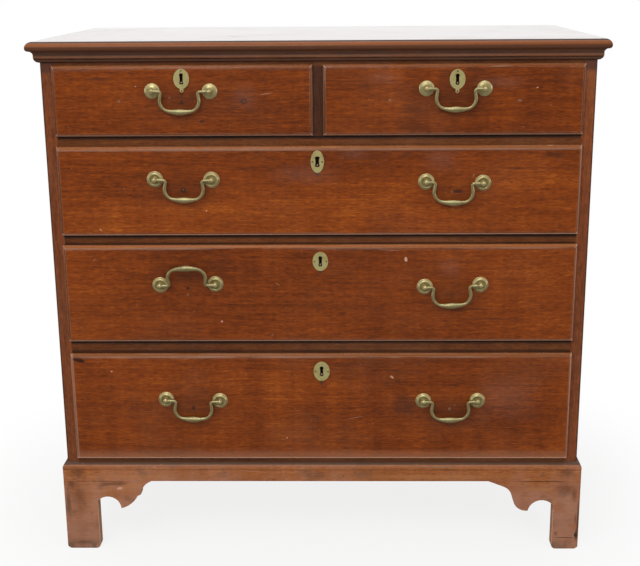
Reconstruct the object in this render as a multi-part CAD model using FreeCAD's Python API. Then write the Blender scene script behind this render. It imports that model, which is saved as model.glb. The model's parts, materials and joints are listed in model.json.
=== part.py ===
import FreeCAD, Part
import math
import os

# Chest of two short and three long lipped drawers on bracket feet, in millimetres.
# X runs to the right, Y from front to back and Z up from the floor.
# The origin lies on the floor, under the middle of the chest's overall box.

# ---------------------------------------------------------------- driving dimensions

# Case
case_width = 915.0
case_depth = 489.0
side_thickness = 21.5
bottom_thickness = 19.0
back_thickness = 11.0
back_rabbet = 10.0
back_board_count = 3
back_board_gap = 0.4

# Front openings and the rails over them, from the lowest tier up
tier_names = ["lower", "middle", "upper", "top"]
opening_heights = {"lower": 195.5, "middle": 170.0, "upper": 149.5, "top": 114.5}
rail_heights = {"lower": 25.0, "middle": 19.5, "upper": 19.5, "top": 26.7}
rail_depth = 70.0
divider_width = 23.0
tongue_length = 9.0
tongue_thickness = 9.0
tongue_setback = 12.0

# Top board with its thumbnail edge, and the moulding under it
top_thickness = 15.5
top_overhang = 19.2
top_edge_radius = 10.0
top_underside_step = 4.4
moulding_height = 18.8
moulding_reach = 14.2
cove_reach = 8.6
cove_height = 7.5
fillet_height = 2.0

# Base moulding and bracket feet
base_overhang = 8.0
base_moulding_height = 36.3
base_bead_height = 14.3
base_quirk = 0.8
foot_height = 133.0
foot_thickness = 20.0
foot_corner_radius = 8.0
blocking_height = 23.3
blocking_depth = 24.0
corner_block_width = 16.0
corner_block_length = 30.0
corner_block_lift = 3.0
rear_brace_thickness = 18.0
rear_brace_length = 120.0
rear_brace_foot = 55.0

# Bracket outlines: distances along the face from the corner, drops below the foot's top
left_bracket = {
    "leg": 60.0, "knee": 39.0, "arch": (79.0, 30.5), "tip": (102.0, 53.5),
    "swell": (122.0, 43.0), "step": (132.5, 29.5), "ledge": (139.0, 26.0),
    "cove": (144.0, 11.5), "cove_end": (154.0, 2.5), "length": 159.0,
}
right_bracket = {
    "leg": 48.0, "knee": 47.0, "arch": (67.0, 37.0), "tip": (93.0, 57.5),
    "swell": (111.0, 52.5), "step": (120.0, 36.0), "ledge": (123.0, 28.0),
    "cove": (129.0, 16.5), "cove_end": (138.0, 10.5), "length": 165.0,
}

# Runners, kickers, guide, dust boards and drawer stops
runner_width = 34.0
runner_height = 19.0
runner_housing = 5.0
centre_runner_width = 72.0
guide_height = 22.0
dust_thickness = 8.0
dust_tongue = 6.0
stop_length = 34.0
stop_depth = 20.0
stop_height = 6.5
stop_gap = 0.3
stop_inset = 70.0

# Drawer construction
lip_overlap = 3.0
lip_thickness = 7.6
lip_gap = 0.4
edge_radius = 4.6
edge_quirk = 0.7
front_inset = 14.0
side_clearance = 1.2
top_clearance = 1.5
bottom_clearance = 0.8
runner_clearance = 0.3
rear_clearance = 12.0
drawer_side_thickness = 11.0
drawer_back_thickness = 10.0
drawer_back_drop = 6.0
drawer_side_drop = 3.0
drawer_bottom_thickness = 7.0
drawer_bottom_lift = 9.0
groove_depth = 4.5
tail_length = 11.5
tail_root = 17.0
tail_flare = 2.6
tail_pitch = 34.0
least_tail_gap = 2.6

# Pulls, each set by hand: distance from the chest's middle, drop below the opening's ceiling,
# rise of the right post over the left one, and how far to the right the bail has slid
pull_places = {
    "drawer_lower": {"left": (-225.0, 81.6, -2.4, 1.2), "right": (228.6, 83.2, 0.5, -0.7)},
    "drawer_middle": {"left": (-226.4, 65.4, 1.4, 0.0), "right": (228.0, 68.5, 3.4, -2.0)},
    "drawer_upper": {"left": (-227.3, 52.1, -1.2, 1.8), "right": (227.9, 58.3, -2.4, -1.8)},
    "drawer_top_left": {"left": (-225.6, 38.8, -0.8, -1.8)},
    "drawer_top_right": {"right": (226.2, 36.7, -0.5, 0.8)},
}

# Pull hardware
boring = 95.2
shank_radius = 2.5
post_ball_radius = 4.4
post_neck_radius = 2.9
post_collar_radius = 4.6
post_collar_height = 1.2
pivot_height = 9.0
rosette_edge = 1.0
dished_rosette_radius = 13.8
rosette_crest = 5.2
rosette_crest_radius = 9.4
rosette_dish = 2.0
rosette_dish_radius = 6.0
domed_rosette_radius = 12.8
rosette_dome = 4.2
nut_size = 12.0
nut_thickness = 4.0
shank_tail = 2.0

# Swan-neck bail
bail_wire_radius = 2.7
bail_pin_radius = 1.6
bail_pin_clearance = 0.06
bail_pin_reach = 2.2
bail_shoulder_gap = 2.4
bail_drop = 33.8
bail_half_width = 32.5
bail_corner_radius = 17.0
bail_bottom_slope = 10.0
bail_neck_slope = 10.0
bail_turn_radius = 3.8
bail_swell_radius = 4.9
bail_swell_end_radius = 2.2
bail_swell_length = 38.0
bail_up_angle = 165.0
raised_bail = "bail_middle_left"

# Locks and escutcheons
keyhole_places = {
    "drawer_lower": (2.5, 28.4),
    "drawer_middle": (1.9, 25.0),
    "drawer_upper": (-1.8, 22.6),
    "drawer_top_left": (-224.0, 18.8),
    "drawer_top_right": (229.0, 21.7),
}
keyhole_height = 18.0
keyhole_round = 3.0
keyhole_slot = 4.0
lock_width = 54.0
lock_thickness = 10.5
lock_wall = 2.4
lock_below_key = 19.0
bolt_width = 24.0
bolt_thickness = 5.0
bolt_clearance = 0.3
bolt_above_keyhole = 0.6
bolt_recess = 0.5
bolt_throw = 5.5
mortise_clearance = 1.0
drill_pin_radius = 1.3
drill_pin_setback = 0.4
escutcheon_thickness = 1.6
escutcheon_sizes = {
    "drawer_lower": (28.3, 35.2),
    "drawer_middle": (26.5, 33.4),
    "drawer_upper": (22.2, 37.6),
    "drawer_top_left": (26.0, 32.6),
    "drawer_top_right": (25.6, 32.6),
}
tailed_escutcheons = ["drawer_top_left", "drawer_top_right"]
escutcheon_tail_radius = 3.0
escutcheon_tail_drop = 3.2
escutcheon_pin_inset = 3.0
escutcheon_pin_radius = 0.7
escutcheon_pin_length = 8.0
escutcheon_pin_head = 1.5

# Points nearer than this are one point
same_point = 1e-6

# ---------------------------------------------------------------- worked-out places

# The middle of a quarter round lies this share of its radius along both axes
diagonal = math.sqrt(0.5)

half_case = case_width / 2
half_inside = half_case - side_thickness
bottom_top = foot_height + blocking_height + bottom_thickness

floors = {}
ceilings = {}
level = bottom_top
for tier in tier_names:
    floors[tier] = level
    ceilings[tier] = level + opening_heights[tier]
    level = ceilings[tier] + rail_heights[tier]
case_top = level
total_height = case_top + top_thickness

front_face_reach = lip_gap + lip_thickness
raised_reach = pivot_height + bail_drop * math.sin(math.radians(180 - bail_up_angle)) + bail_swell_radius
front_reach = max(top_overhang, front_face_reach + raised_reach)
case_front = (front_reach - case_depth) / 2
case_back = case_front + case_depth
back_board_front = case_back - back_thickness
rail_back = case_front + rail_depth
front_back_face = case_front + front_inset
drawer_face = case_front - front_face_reach
pivot_y = drawer_face - pivot_height
drawer_back = back_board_front - rear_clearance
moulding_bottom = case_top - moulding_height

drawers = {
    "drawer_lower": ("lower", -half_inside, half_inside),
    "drawer_middle": ("middle", -half_inside, half_inside),
    "drawer_upper": ("upper", -half_inside, half_inside),
    "drawer_top_left": ("top", -half_inside, -divider_width / 2),
    "drawer_top_right": ("top", divider_width / 2, half_inside),
}

# ---------------------------------------------------------------- shape helpers


def vec(x, y, z):
    return FreeCAD.Vector(x, y, z)


def box(x0, x1, y0, y1, z0, z1):
    return Part.makeBox(x1 - x0, y1 - y0, z1 - z0, vec(x0, y0, z0))


def closed_face(start, *steps):
    """Face inside an outline: a step of one point is a line, a step of two an arc through them."""
    edges = []
    here = vec(*start)
    for step in steps:
        end = vec(*step[-1])
        if len(step) == 1:
            edges.append(Part.makeLine(here, end))
        else:
            edges.append(Part.Arc(here, vec(*step[0]), end).toShape())
        here = end
    if here.distanceToPoint(vec(*start)) > same_point:
        edges.append(Part.makeLine(here, vec(*start)))
    return Part.Face(Part.Wire(edges))


def corner_arc(centre_u, centre_v, radius_u, radius_v):
    """Middle point of a quarter round, for an arc of unequal reach and height."""
    return (centre_u + radius_u * diagonal, centre_v + radius_v * diagonal)


def fuse_all(shapes):
    joined = shapes[0].multiFuse(shapes[1:]) if len(shapes) > 1 else shapes[0]
    return joined.removeSplitter()


def cut_all(shape, tools):
    for tool in tools:
        shape = shape.cut(tool)
    return shape


def mirrored(shape):
    return shape.mirror(vec(0, 0, 0), vec(1, 0, 0))


def cylinder_x(x0, x1, y, z, radius):
    return Part.makeCylinder(radius, x1 - x0, vec(x0, y, z), vec(1, 0, 0))


def cylinder_y(x, y0, y1, z, radius):
    return Part.makeCylinder(radius, y1 - y0, vec(x, y0, z), vec(0, 1, 0))


def save(name, solids):
    """Write one node's STEP file from its solids."""
    shape = solids[0] if len(solids) == 1 else Part.makeCompound(solids)
    shape.exportStep("parts/" + name + ".step")


# ---------------------------------------------------------------- case


def rail_tongue(tier):
    """Tongues at both ends of a tier's rail, which the sides are housed for."""
    middle = ceilings[tier] + rail_heights[tier] / 2
    z0 = middle - tongue_thickness / 2
    z1 = middle + tongue_thickness / 2
    reach = half_inside + tongue_length
    return box(-reach, reach, case_front + tongue_setback, rail_back - tongue_setback, z0, z1)


def bottom_tongue():
    middle = bottom_top - bottom_thickness / 2
    z0 = middle - tongue_thickness / 2
    z1 = middle + tongue_thickness / 2
    reach = half_inside + tongue_length
    return box(-reach, reach, case_front + tongue_setback, back_board_front, z0, z1)


def runner_levels():
    """Top faces of the side runners, one pair for each tier above the bottom board."""
    return [floors[tier] for tier in tier_names[1:]]


def make_sides():
    """The two sides, rabbeted for the back and housed for rails, bottom and runners."""
    board = box(half_inside, half_case, case_front, case_back, foot_height, case_top)
    rabbet = box(half_inside, half_inside + back_rabbet, back_board_front, case_back,
                 foot_height, case_top)
    tools = [rabbet, bottom_tongue()]
    tools += [rail_tongue(tier) for tier in tier_names]
    for top in runner_levels():
        tools.append(box(half_inside, half_inside + runner_housing, rail_back, back_board_front,
                         top - runner_height, top))
    right = cut_all(board, tools)
    return mirrored(right), right


def make_top_board():
    """Top board: its front and both ends carry a thumbnail edge over a small under-round."""
    flat = top_overhang - top_edge_radius
    nose = total_height - top_edge_radius
    under = top_overhang - top_underside_step

    def edge(reach_in):
        upper_mid = corner_arc(flat, nose, top_edge_radius, top_edge_radius)
        lower_mid = corner_arc(under, nose, top_underside_step, case_top - nose)
        return [(reach_in, total_height), (flat, total_height), upper_mid, (top_overhang, nose),
                lower_mid, (under, case_top), (reach_in, case_top)]

    def front(u, z):
        return (-half_case - top_overhang, case_front - u, z)

    def end(u, z, side):
        return (side * (half_case + u), case_front - top_overhang, z)

    row = edge(-case_depth)
    start, flat_point, upper, nose_point, lower, under_point, last = [front(*p) for p in row]
    lengthwise = closed_face(start, (flat_point,), (upper, nose_point), (lower, under_point), (last,))
    lengthwise = lengthwise.extrude(vec(case_width + 2 * top_overhang, 0, 0))

    row = edge(0)[1:6]
    left = [end(u, z, -1) for u, z in row]
    right = [end(u, z, 1) for u, z in row]
    crosswise = closed_face(left[0], (right[0],), (right[1], right[2]), (right[3], right[4]),
                            (left[4],), (left[3], left[2]), (left[1], left[0]))
    crosswise = crosswise.extrude(vec(0, case_depth + top_overhang, 0))
    return lengthwise.common(crosswise)


def mitred_runs(section):
    """Front, left and right runs of a moulding whose section is drawn by section(place)."""
    spread = top_overhang + base_overhang
    front_face = section(lambda u, z: (-half_case - spread, case_front - u, z))
    front = front_face.extrude(vec(case_width + 2 * spread, 0, 0))
    side_face = section(lambda u, z: (half_case + u, case_front - spread, z))
    side = side_face.extrude(vec(0, case_depth + spread, 0))

    corner = (half_case, case_front, 0)
    outer = (half_case + spread, case_front - spread, 0)
    front_wedge = closed_face((-corner[0], corner[1], 0), (corner,), (outer,), ((-outer[0], outer[1], 0),))
    side_wedge = closed_face(corner, ((half_case, case_back, 0),), ((outer[0], case_back, 0),), (outer,))
    height = vec(0, 0, total_height)
    right = side.common(side_wedge.extrude(height))
    return [front.common(front_wedge.extrude(height)), mirrored(right), right]


def top_moulding_section(place):
    """Cove under the top board, then a fillet and an ovolo that runs down to the case."""
    cove_bottom = case_top - cove_height
    ovolo_top = cove_bottom - fillet_height
    cove_depth = moulding_reach - cove_reach
    cove_mid = (moulding_reach - cove_depth * diagonal, case_top - cove_height * (1 - diagonal))
    ovolo_mid = (cove_reach * diagonal, ovolo_top - (ovolo_top - moulding_bottom) * diagonal)
    return closed_face(place(0, case_top), (place(moulding_reach, case_top),),
                       (place(*cove_mid), place(cove_reach, cove_bottom)),
                       (place(cove_reach, ovolo_top),),
                       (place(*ovolo_mid), place(0, moulding_bottom)))


def base_moulding_section(place):
    """Plain strip with a rounded bead along its top, set off by a small groove."""
    bead_bottom = foot_height + base_moulding_height - base_bead_height
    top = foot_height + base_moulding_height
    bead_mid = corner_arc(0, bead_bottom, base_overhang, base_bead_height)
    return closed_face(place(0, foot_height), (place(base_overhang, foot_height),),
                       (place(base_overhang, bead_bottom - base_quirk),),
                       (place(base_overhang - base_quirk, bead_bottom - base_quirk / 2),),
                       (place(base_overhang, bead_bottom),),
                       (place(*bead_mid), place(0, top)))


def bolt_mortise(name):
    """Pocket in the rail over a drawer, which its lock bolt is thrown up into."""
    x = keyhole_places[name][0]
    half = bolt_width / 2 + mortise_clearance
    y0, y1 = bolt_span_y()
    ceiling = ceiling_over(name)
    return box(x - half, x + half, y0 - mortise_clearance, y1 + mortise_clearance,
               ceiling, ceiling + bolt_throw + mortise_clearance)


def divider_tongue():
    half = tongue_thickness / 2
    return box(-half, half, case_front + tongue_setback, rail_back - tongue_setback,
               floors["top"] - tongue_length, ceilings["top"] + tongue_length)


def dust_panels():
    """Dust boards of each tier above the bottom: one panel, or two beside the centre runner."""
    panels = []
    for tier in tier_names[1:]:
        middle = floors[tier] - runner_height / 2
        z0 = middle - dust_thickness / 2
        z1 = middle + dust_thickness / 2
        outer = half_inside - runner_width + runner_housing + dust_tongue
        y0 = rail_back - dust_tongue
        if tier == "top":
            inner = centre_runner_width / 2 - dust_tongue
            panels.append(box(-outer, -inner, y0, back_board_front, z0, z1))
            panels.append(box(inner, outer, y0, back_board_front, z0, z1))
        else:
            panels.append(box(-outer, outer, y0, back_board_front, z0, z1))
    return panels


def make_rails():
    """Front rails from the bottom one up to the one under the top board."""
    tools = dust_panels() + [divider_tongue()] + [bolt_mortise(name) for name in drawers]
    low = bottom_top - bottom_thickness
    bottom_bar = box(-half_inside, half_inside, case_front, rail_back, low, bottom_top)
    front_zone = box(-half_case, half_case, case_front, rail_back, 0, total_height)
    rails = [fuse_all([bottom_bar, bottom_tongue().common(front_zone)])]
    for tier in tier_names:
        bar = box(-half_inside, half_inside, case_front, rail_back,
                  ceilings[tier], ceilings[tier] + rail_heights[tier])
        rails.append(cut_all(fuse_all([bar, rail_tongue(tier)]), tools))
    return rails


def make_divider():
    """Upright between the two short drawers, tongued into the rails above and below."""
    half = divider_width / 2
    post = box(-half, half, case_front, rail_back, floors["top"], ceilings["top"])
    return fuse_all([post, divider_tongue()])


def make_bottom_board():
    low = bottom_top - bottom_thickness
    board = box(-half_inside, half_inside, rail_back, back_board_front, low, bottom_top)
    back_zone = box(-half_case, half_case, rail_back, case_back, 0, total_height)
    return fuse_all([board, bottom_tongue().common(back_zone)])


def make_back_boards():
    """Horizontal boards in the rabbets of the sides, with a hair of room between them."""
    reach = half_inside + back_rabbet
    height = (case_top - foot_height - (back_board_count - 1) * back_board_gap) / back_board_count
    boards = []
    for index in range(back_board_count):
        z0 = foot_height + index * (height + back_board_gap)
        boards.append(box(-reach, reach, back_board_front, case_back, z0, z0 + height))
    return boards


def make_runners():
    """Side and centre runners, the guide between the short drawers, and the kickers over them."""
    bars = []
    panels = dust_panels()
    inner = half_inside - runner_width + runner_housing
    for top in runner_levels():
        bar = box(inner, half_inside + runner_housing, rail_back, back_board_front,
                  top - runner_height, top)
        bars += [cut_all(mirrored(bar), panels), cut_all(bar, panels)]
    top = floors["top"]
    half = centre_runner_width / 2
    centre = box(-half, half, rail_back, back_board_front, top - runner_height, top)
    bars.append(cut_all(centre, panels))
    half = divider_width / 2
    bars.append(box(-half, half, rail_back, back_board_front, top, top + guide_height))
    ceiling = ceilings["top"]
    kicker = box(inner, half_inside, rail_back, back_board_front, ceiling, case_top)
    bars += [mirrored(kicker), kicker]
    half = centre_runner_width / 2
    bars.append(box(-half, half, rail_back, back_board_front, ceiling, case_top))
    return bars


def make_stops():
    """Blocks on the rails that a closing drawer front meets."""
    blocks = []
    y0 = front_back_face + stop_gap
    for tier, x0, x1 in drawers.values():
        for x in (x0 + stop_inset, x1 - stop_inset - stop_length):
            blocks.append(box(x, x + stop_length, y0, y0 + stop_depth,
                              floors[tier], floors[tier] + stop_height))
    return blocks


# ---------------------------------------------------------------- base


def bracket_face(outline, place):
    """Bracket outline: a leg, a small arch, a hanging point and a cove up to the case."""
    leg = outline["leg"]
    r = foot_corner_radius
    inset = r * (1 - diagonal)

    def at(key):
        along, drop = outline[key]
        return place(along, foot_height - drop)

    return closed_face(
        place(0, r), (place(inset, inset), place(r, 0)), (place(leg - r, 0),),
        (place(leg - inset, inset), place(leg, r)), (place(leg, foot_height - outline["knee"]),),
        (at("arch"), at("tip")), (at("swell"), at("step")), (at("ledge"),),
        (at("cove"), at("cove_end")), (place(outline["length"], foot_height),),
        (place(0, foot_height),))


def front_bracket(outline):
    """Front board of the right foot, mitred at the corner."""
    outer = half_case + base_overhang
    face_y = case_front - base_overhang
    board = bracket_face(outline, lambda u, z: (outer - u, face_y, z)).extrude(vec(0, foot_thickness, 0))
    reach = outline["length"]
    wedge = closed_face((outer, face_y, 0), ((outer - foot_thickness, face_y + foot_thickness, 0),),
                        ((outer - reach, face_y + foot_thickness, 0),), ((outer - reach, face_y, 0),))
    return board.common(wedge.extrude(vec(0, 0, foot_height)))


def side_bracket(outline):
    """Side board of the right front foot, mitred at the corner."""
    outer = half_case + base_overhang
    face_y = case_front - base_overhang
    board = bracket_face(outline, lambda u, z: (outer, face_y + u, z)).extrude(vec(-foot_thickness, 0, 0))
    reach = face_y + outline["length"]
    wedge = closed_face((outer, face_y, 0), ((outer, reach, 0),), ((outer - foot_thickness, reach, 0),),
                        ((outer - foot_thickness, face_y + foot_thickness, 0),))
    return board.common(wedge.extrude(vec(0, 0, foot_height)))


def make_rear_foot():
    """Side bracket and plain brace of the right rear foot."""
    outer = half_case + base_overhang
    face = bracket_face(left_bracket, lambda u, z: (outer, case_back - u, z))
    side = face.extrude(vec(-foot_thickness, 0, 0))
    x = outer - foot_thickness
    brace = closed_face((x, case_back, 0), ((x, case_back, foot_height),),
                        ((x - rear_brace_length, case_back, foot_height),),
                        ((x - rear_brace_foot, case_back, 0),))
    return [side, brace.extrude(vec(0, -rear_brace_thickness, 0))]


def make_base_blocks():
    """Strips under the bottom, and the glue blocks that stand inside the feet."""
    z1 = foot_height + blocking_height
    z0 = foot_height
    front = box(-half_inside, half_inside, case_front, case_front + blocking_depth, z0, z1)
    back = box(-half_inside, half_inside, back_board_front - blocking_depth, back_board_front, z0, z1)
    outer = half_case + base_overhang - foot_thickness
    front_y = case_front - base_overhang + foot_thickness
    back_y = case_back - rear_brace_thickness
    blocks = [front, back]
    for y0 in (front_y, back_y - corner_block_length):
        block = box(outer - corner_block_width, outer, y0, y0 + corner_block_length, corner_block_lift, z0)
        blocks += [mirrored(block), block]
    return blocks


# ---------------------------------------------------------------- drawers


def floor_under(name):
    return floors[drawers[name][0]]


def ceiling_over(name):
    return ceilings[drawers[name][0]]


def drawer_span(name):
    """Left and right outer faces of a drawer inside its opening."""
    return drawers[name][1] + side_clearance, drawers[name][2] - side_clearance


def front_levels(name):
    """Bottom and top of the part of a drawer front that enters the opening."""
    return floor_under(name) + bottom_clearance, ceiling_over(name) - top_clearance


def moulded_plate(x0, x1, z0, z1, y0, y1):
    """Plate whose four front edges carry a small ovolo below a quirk."""
    r = edge_radius
    shoulder = y0 + edge_quirk
    turn = shoulder + r
    middle_y = turn - r * diagonal
    inset = r * (1 - diagonal)

    def section(place, a, b):
        return closed_face(place(a, y1), (place(a, turn),),
                           (place(a + inset, middle_y), place(a + r, shoulder)),
                           (place(a + r, y0),), (place(b - r, y0),), (place(b - r, shoulder),),
                           (place(b - inset, middle_y), place(b, turn)), (place(b, y1),))

    upright = section(lambda u, y: (x0, y, u), z0, z1).extrude(vec(x1 - x0, 0, 0))
    level_cut = section(lambda u, y: (u, y, z0), x0, x1).extrude(vec(0, 0, z1 - z0))
    return upright.common(level_cut)


def tails(x0, x1, root, tip, z0, z1):
    """Dovetails of a drawer side, evenly spaced up its height and flared towards their tip."""
    count = max(1, round((z1 - z0) / tail_pitch))
    pitch = (z1 - z0) / count
    root_half = min(tail_root, pitch - 2 * tail_flare - least_tail_gap) / 2
    tip_half = root_half + tail_flare
    prisms = []
    for index in range(count):
        c = z0 + (index + 0.5) * pitch
        face = closed_face((x0, root, c - root_half), ((x0, root, c + root_half),),
                           ((x0, tip, c + tip_half),), ((x0, tip, c - tip_half),))
        prisms.append(face.extrude(vec(x1 - x0, 0, 0)))
    return prisms


def bottom_panel(name):
    """Drawer bottom, let into the front and sides and run under the back."""
    x0, x1 = drawer_span(name)
    inset = drawer_side_thickness - groove_depth
    panel_z = floor_under(name) + runner_clearance + drawer_bottom_lift
    return box(x0 + inset, x1 - inset, front_back_face - groove_depth, drawer_back,
               panel_z, panel_z + drawer_bottom_thickness)


def make_drawer_box(name):
    """Two sides and a back, dovetailed; returns them and the tails that enter the front."""
    x0, x1 = drawer_span(name)
    side_z0 = floor_under(name) + runner_clearance
    side_z1 = front_levels(name)[1] - drawer_side_drop
    back_z0 = side_z0 + drawer_bottom_lift + drawer_bottom_thickness
    back_z1 = side_z1 - drawer_back_drop
    back_front = drawer_back - drawer_back_thickness
    panel = bottom_panel(name)
    sides = []
    front_tails = []
    back = box(x0, x1, back_front, drawer_back, back_z0, back_z1)
    for a, b in ((x0, x0 + drawer_side_thickness), (x1 - drawer_side_thickness, x1)):
        lap_tails = tails(a, b, front_back_face, front_back_face - tail_length,
                          side_z0 + drawer_bottom_lift, side_z1)
        rear_tails = tails(a, b, back_front, drawer_back, back_z0, back_z1)
        board = box(a, b, front_back_face, back_front, side_z0, side_z1)
        foot = box(a, b, back_front, drawer_back, side_z0, back_z0)
        sides.append(fuse_all([board, foot] + lap_tails + rear_tails).cut(panel))
        front_tails += lap_tails
        back = cut_all(back, rear_tails)
    return sides + [back], front_tails


def bolt_span_y():
    """Front and back of the lock bolts, in the middle of the lock's thickness."""
    middle = front_back_face - lock_thickness / 2
    return middle - bolt_thickness / 2, middle + bolt_thickness / 2


def keyhole(name, y0, y1):
    """Keyhole prism: a slot with a round end at the top and at the bottom."""
    x, drop = keyhole_places[name]
    z = ceiling_over(name) - drop
    reach = keyhole_height / 2 - keyhole_round
    slot = box(x - keyhole_slot / 2, x + keyhole_slot / 2, y0, y1, z - reach, z + reach)
    rounds = [cylinder_y(x, y0, y1, z + s * reach, keyhole_round) for s in (-1, 1)]
    return fuse_all([slot] + rounds)


def lock_box(name):
    x, drop = keyhole_places[name]
    z1 = front_levels(name)[1]
    z0 = ceiling_over(name) - drop - lock_below_key
    half = lock_width / 2
    return box(x - half, x + half, front_back_face - lock_thickness, front_back_face, z0, z1)


def make_bolt(name):
    """Sliding bolt of a drawer lock, at rest just below the lock's top."""
    x, drop = keyhole_places[name]
    z1 = front_levels(name)[1] - bolt_recess
    z0 = ceiling_over(name) - drop + keyhole_height / 2 + bolt_above_keyhole
    y0, y1 = bolt_span_y()
    return box(x - bolt_width / 2, x + bolt_width / 2, y0, y1, z0, z1)


def make_lock(name):
    """Lock case with the bolt's slot, the keyway and the pin that a key turns on."""
    x, drop = keyhole_places[name]
    case = lock_box(name)
    low = case.BoundBox.ZMin + lock_wall
    y0, y1 = bolt_span_y()
    half = bolt_width / 2 + bolt_clearance
    seat = make_bolt(name).BoundBox.ZMin - bolt_clearance
    slot = box(x - half, x + half, y0 - bolt_clearance, y1 + bolt_clearance, seat, case.BoundBox.ZMax)
    key_half = keyhole_height / 2
    chamber = box(x - key_half, x + key_half, y0 - bolt_clearance, y1 + bolt_clearance, low, seat)
    case = case.cut(fuse_all([slot, chamber]))
    case = case.cut(keyhole(name, front_back_face - lock_thickness, y1))
    pin_z = ceiling_over(name) - drop - key_half + keyhole_round
    pin_tip = drawer_face + drill_pin_setback
    pin = cylinder_y(x, pin_tip, front_back_face, pin_z, drill_pin_radius)
    return fuse_all([case, pin])


def escutcheon_pins(name):
    """Places of the two pins: top and tail on a tailed plate, left and right on an oval one."""
    x, drop = keyhole_places[name]
    z = ceiling_over(name) - drop
    width, height = escutcheon_sizes[name]
    if name in tailed_escutcheons:
        return [(x, z + height / 2 - escutcheon_pin_inset), (x, z - height / 2 - escutcheon_tail_drop)]
    return [(x + s * (width / 2 - escutcheon_pin_inset), z) for s in (-1, 1)]


def pin_shanks(name):
    y0 = drawer_face - escutcheon_thickness
    return [cylinder_y(x, y0, drawer_face + escutcheon_pin_length, z, escutcheon_pin_radius)
            for x, z in escutcheon_pins(name)]


def make_escutcheon(name):
    """Brass plate round the keyhole and the two small pins that hold it."""
    x, drop = keyhole_places[name]
    z = ceiling_over(name) - drop
    width, height = escutcheon_sizes[name]
    y0 = drawer_face - escutcheon_thickness
    long_z = height > width
    ellipse = Part.Ellipse(vec(x, y0, z), max(width, height) / 2, min(width, height) / 2)
    edge = ellipse.toShape()
    edge.rotate(vec(x, y0, z), vec(1, 0, 0), 90)
    if long_z:
        edge.rotate(vec(x, y0, z), vec(0, 1, 0), 90)
    plate = Part.Face(Part.Wire([edge])).extrude(vec(0, escutcheon_thickness, 0))
    if name in tailed_escutcheons:
        tail_x, tail_z = escutcheon_pins(name)[1]
        tail = cylinder_y(tail_x, y0, drawer_face, tail_z, escutcheon_tail_radius)
        neck = box(x - escutcheon_tail_radius, x + escutcheon_tail_radius, y0, drawer_face, tail_z, z)
        plate = fuse_all([plate, tail, neck])
    plate = cut_all(plate.cut(keyhole(name, y0, drawer_face)), pin_shanks(name))
    pins = []
    for (px, pz), shank in zip(escutcheon_pins(name), pin_shanks(name)):
        head = Part.makeSphere(escutcheon_pin_head, vec(px, y0, pz), vec(0, -1, 0), 0, 90, 360)
        pins.append(fuse_all([shank, head]))
    return [plate] + pins


def pull_tilt(rise):
    """Angle in degrees by which a pull's right end stands up."""
    return math.degrees(math.asin(rise / boring))


def post_places(name):
    """The posts of a drawer's pulls, two to each: x, z and the pull's tilt."""
    places = []
    for x, drop, rise, slide in pull_places[name].values():
        tilt = pull_tilt(rise)
        reach = boring / 2 * math.cos(math.radians(tilt))
        z = ceiling_over(name) - drop
        places += [(x - reach, z - rise / 2, tilt), (x + reach, z + rise / 2, tilt)]
    return places


def make_front(name, front_tails):
    """Lipped front, cut for its tails, bottom, lock, keyhole, pull bolts and pins."""
    x0, x1 = drawer_span(name)
    z0, z1 = front_levels(name)
    lip_x0 = drawers[name][1] - lip_overlap
    lip_x1 = drawers[name][2] + lip_overlap
    lip_back = case_front - lip_gap
    plate = moulded_plate(lip_x0, lip_x1, z0, ceiling_over(name) + lip_overlap, drawer_face, lip_back)
    inner = box(x0, x1, lip_back, front_back_face, z0, z1)
    front = fuse_all([plate, inner])
    front = cut_all(front, front_tails + [bottom_panel(name), lock_box(name)])
    front = front.cut(keyhole(name, drawer_face, front_back_face - lock_thickness))
    bolts = [cylinder_y(x, drawer_face, front_back_face, z, shank_radius)
             for x, z, tilt in post_places(name)]
    return cut_all(front, bolts + pin_shanks(name))


def is_domed(name):
    """The short drawers have domed rosettes, the long ones dished rosettes."""
    return drawers[name][0] == "top"


def make_rosette(x, z, domed):
    """Round plate that the post stands in, domed, or dished inside a crest."""
    y = drawer_face

    def at(radius, height):
        return (x + radius, y - height, z)

    def mid(foot, fall, run):
        return at(*corner_arc(post_collar_radius if domed else rosette_crest_radius, foot, run, fall))

    start = at(shank_radius, 0)
    if domed:
        radius = domed_rosette_radius
        crest = at(post_collar_radius, rosette_dome)
        outer_mid = mid(rosette_edge, rosette_dome - rosette_edge, radius - post_collar_radius)
        face = closed_face(start, (at(radius, 0),), (at(radius, rosette_edge),),
                           (outer_mid, crest), (at(shank_radius, rosette_dome),))
    else:
        radius = dished_rosette_radius
        crest = at(rosette_crest_radius, rosette_crest)
        outer_mid = mid(rosette_edge, rosette_crest - rosette_edge, radius - rosette_crest_radius)
        inner_mid = mid(rosette_dish, rosette_crest - rosette_dish,
                        rosette_dish_radius - rosette_crest_radius)
        face = closed_face(start, (at(radius, 0),), (at(radius, rosette_edge),),
                           (outer_mid, crest), (inner_mid, at(rosette_dish_radius, rosette_dish)),
                           (at(shank_radius, rosette_dish),))
    return face.revolve(vec(x, y, z), vec(0, 1, 0), 360)


def make_post(x, z, tilt, domed):
    """Bolt with a ball head, cross-drilled for the bail's pin."""
    y = drawer_face
    seat = rosette_dome if domed else rosette_dish
    collar_top = seat + post_collar_height
    shank = cylinder_y(x, y - collar_top, front_back_face + nut_thickness + shank_tail, z, shank_radius)
    collar = cylinder_y(x, y - collar_top, y - seat, z, post_collar_radius)
    neck = cylinder_y(x, pivot_y, y - collar_top, z, post_neck_radius)
    centre = vec(x, pivot_y, z)
    ball = Part.makeSphere(post_ball_radius, centre)
    hole = cylinder_x(x - post_ball_radius, x + post_ball_radius, pivot_y, z,
                      bail_pin_radius + bail_pin_clearance)
    hole.rotate(centre, vec(0, 1, 0), -tilt)
    return fuse_all([shank, collar, neck, ball]).cut(hole)


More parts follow.
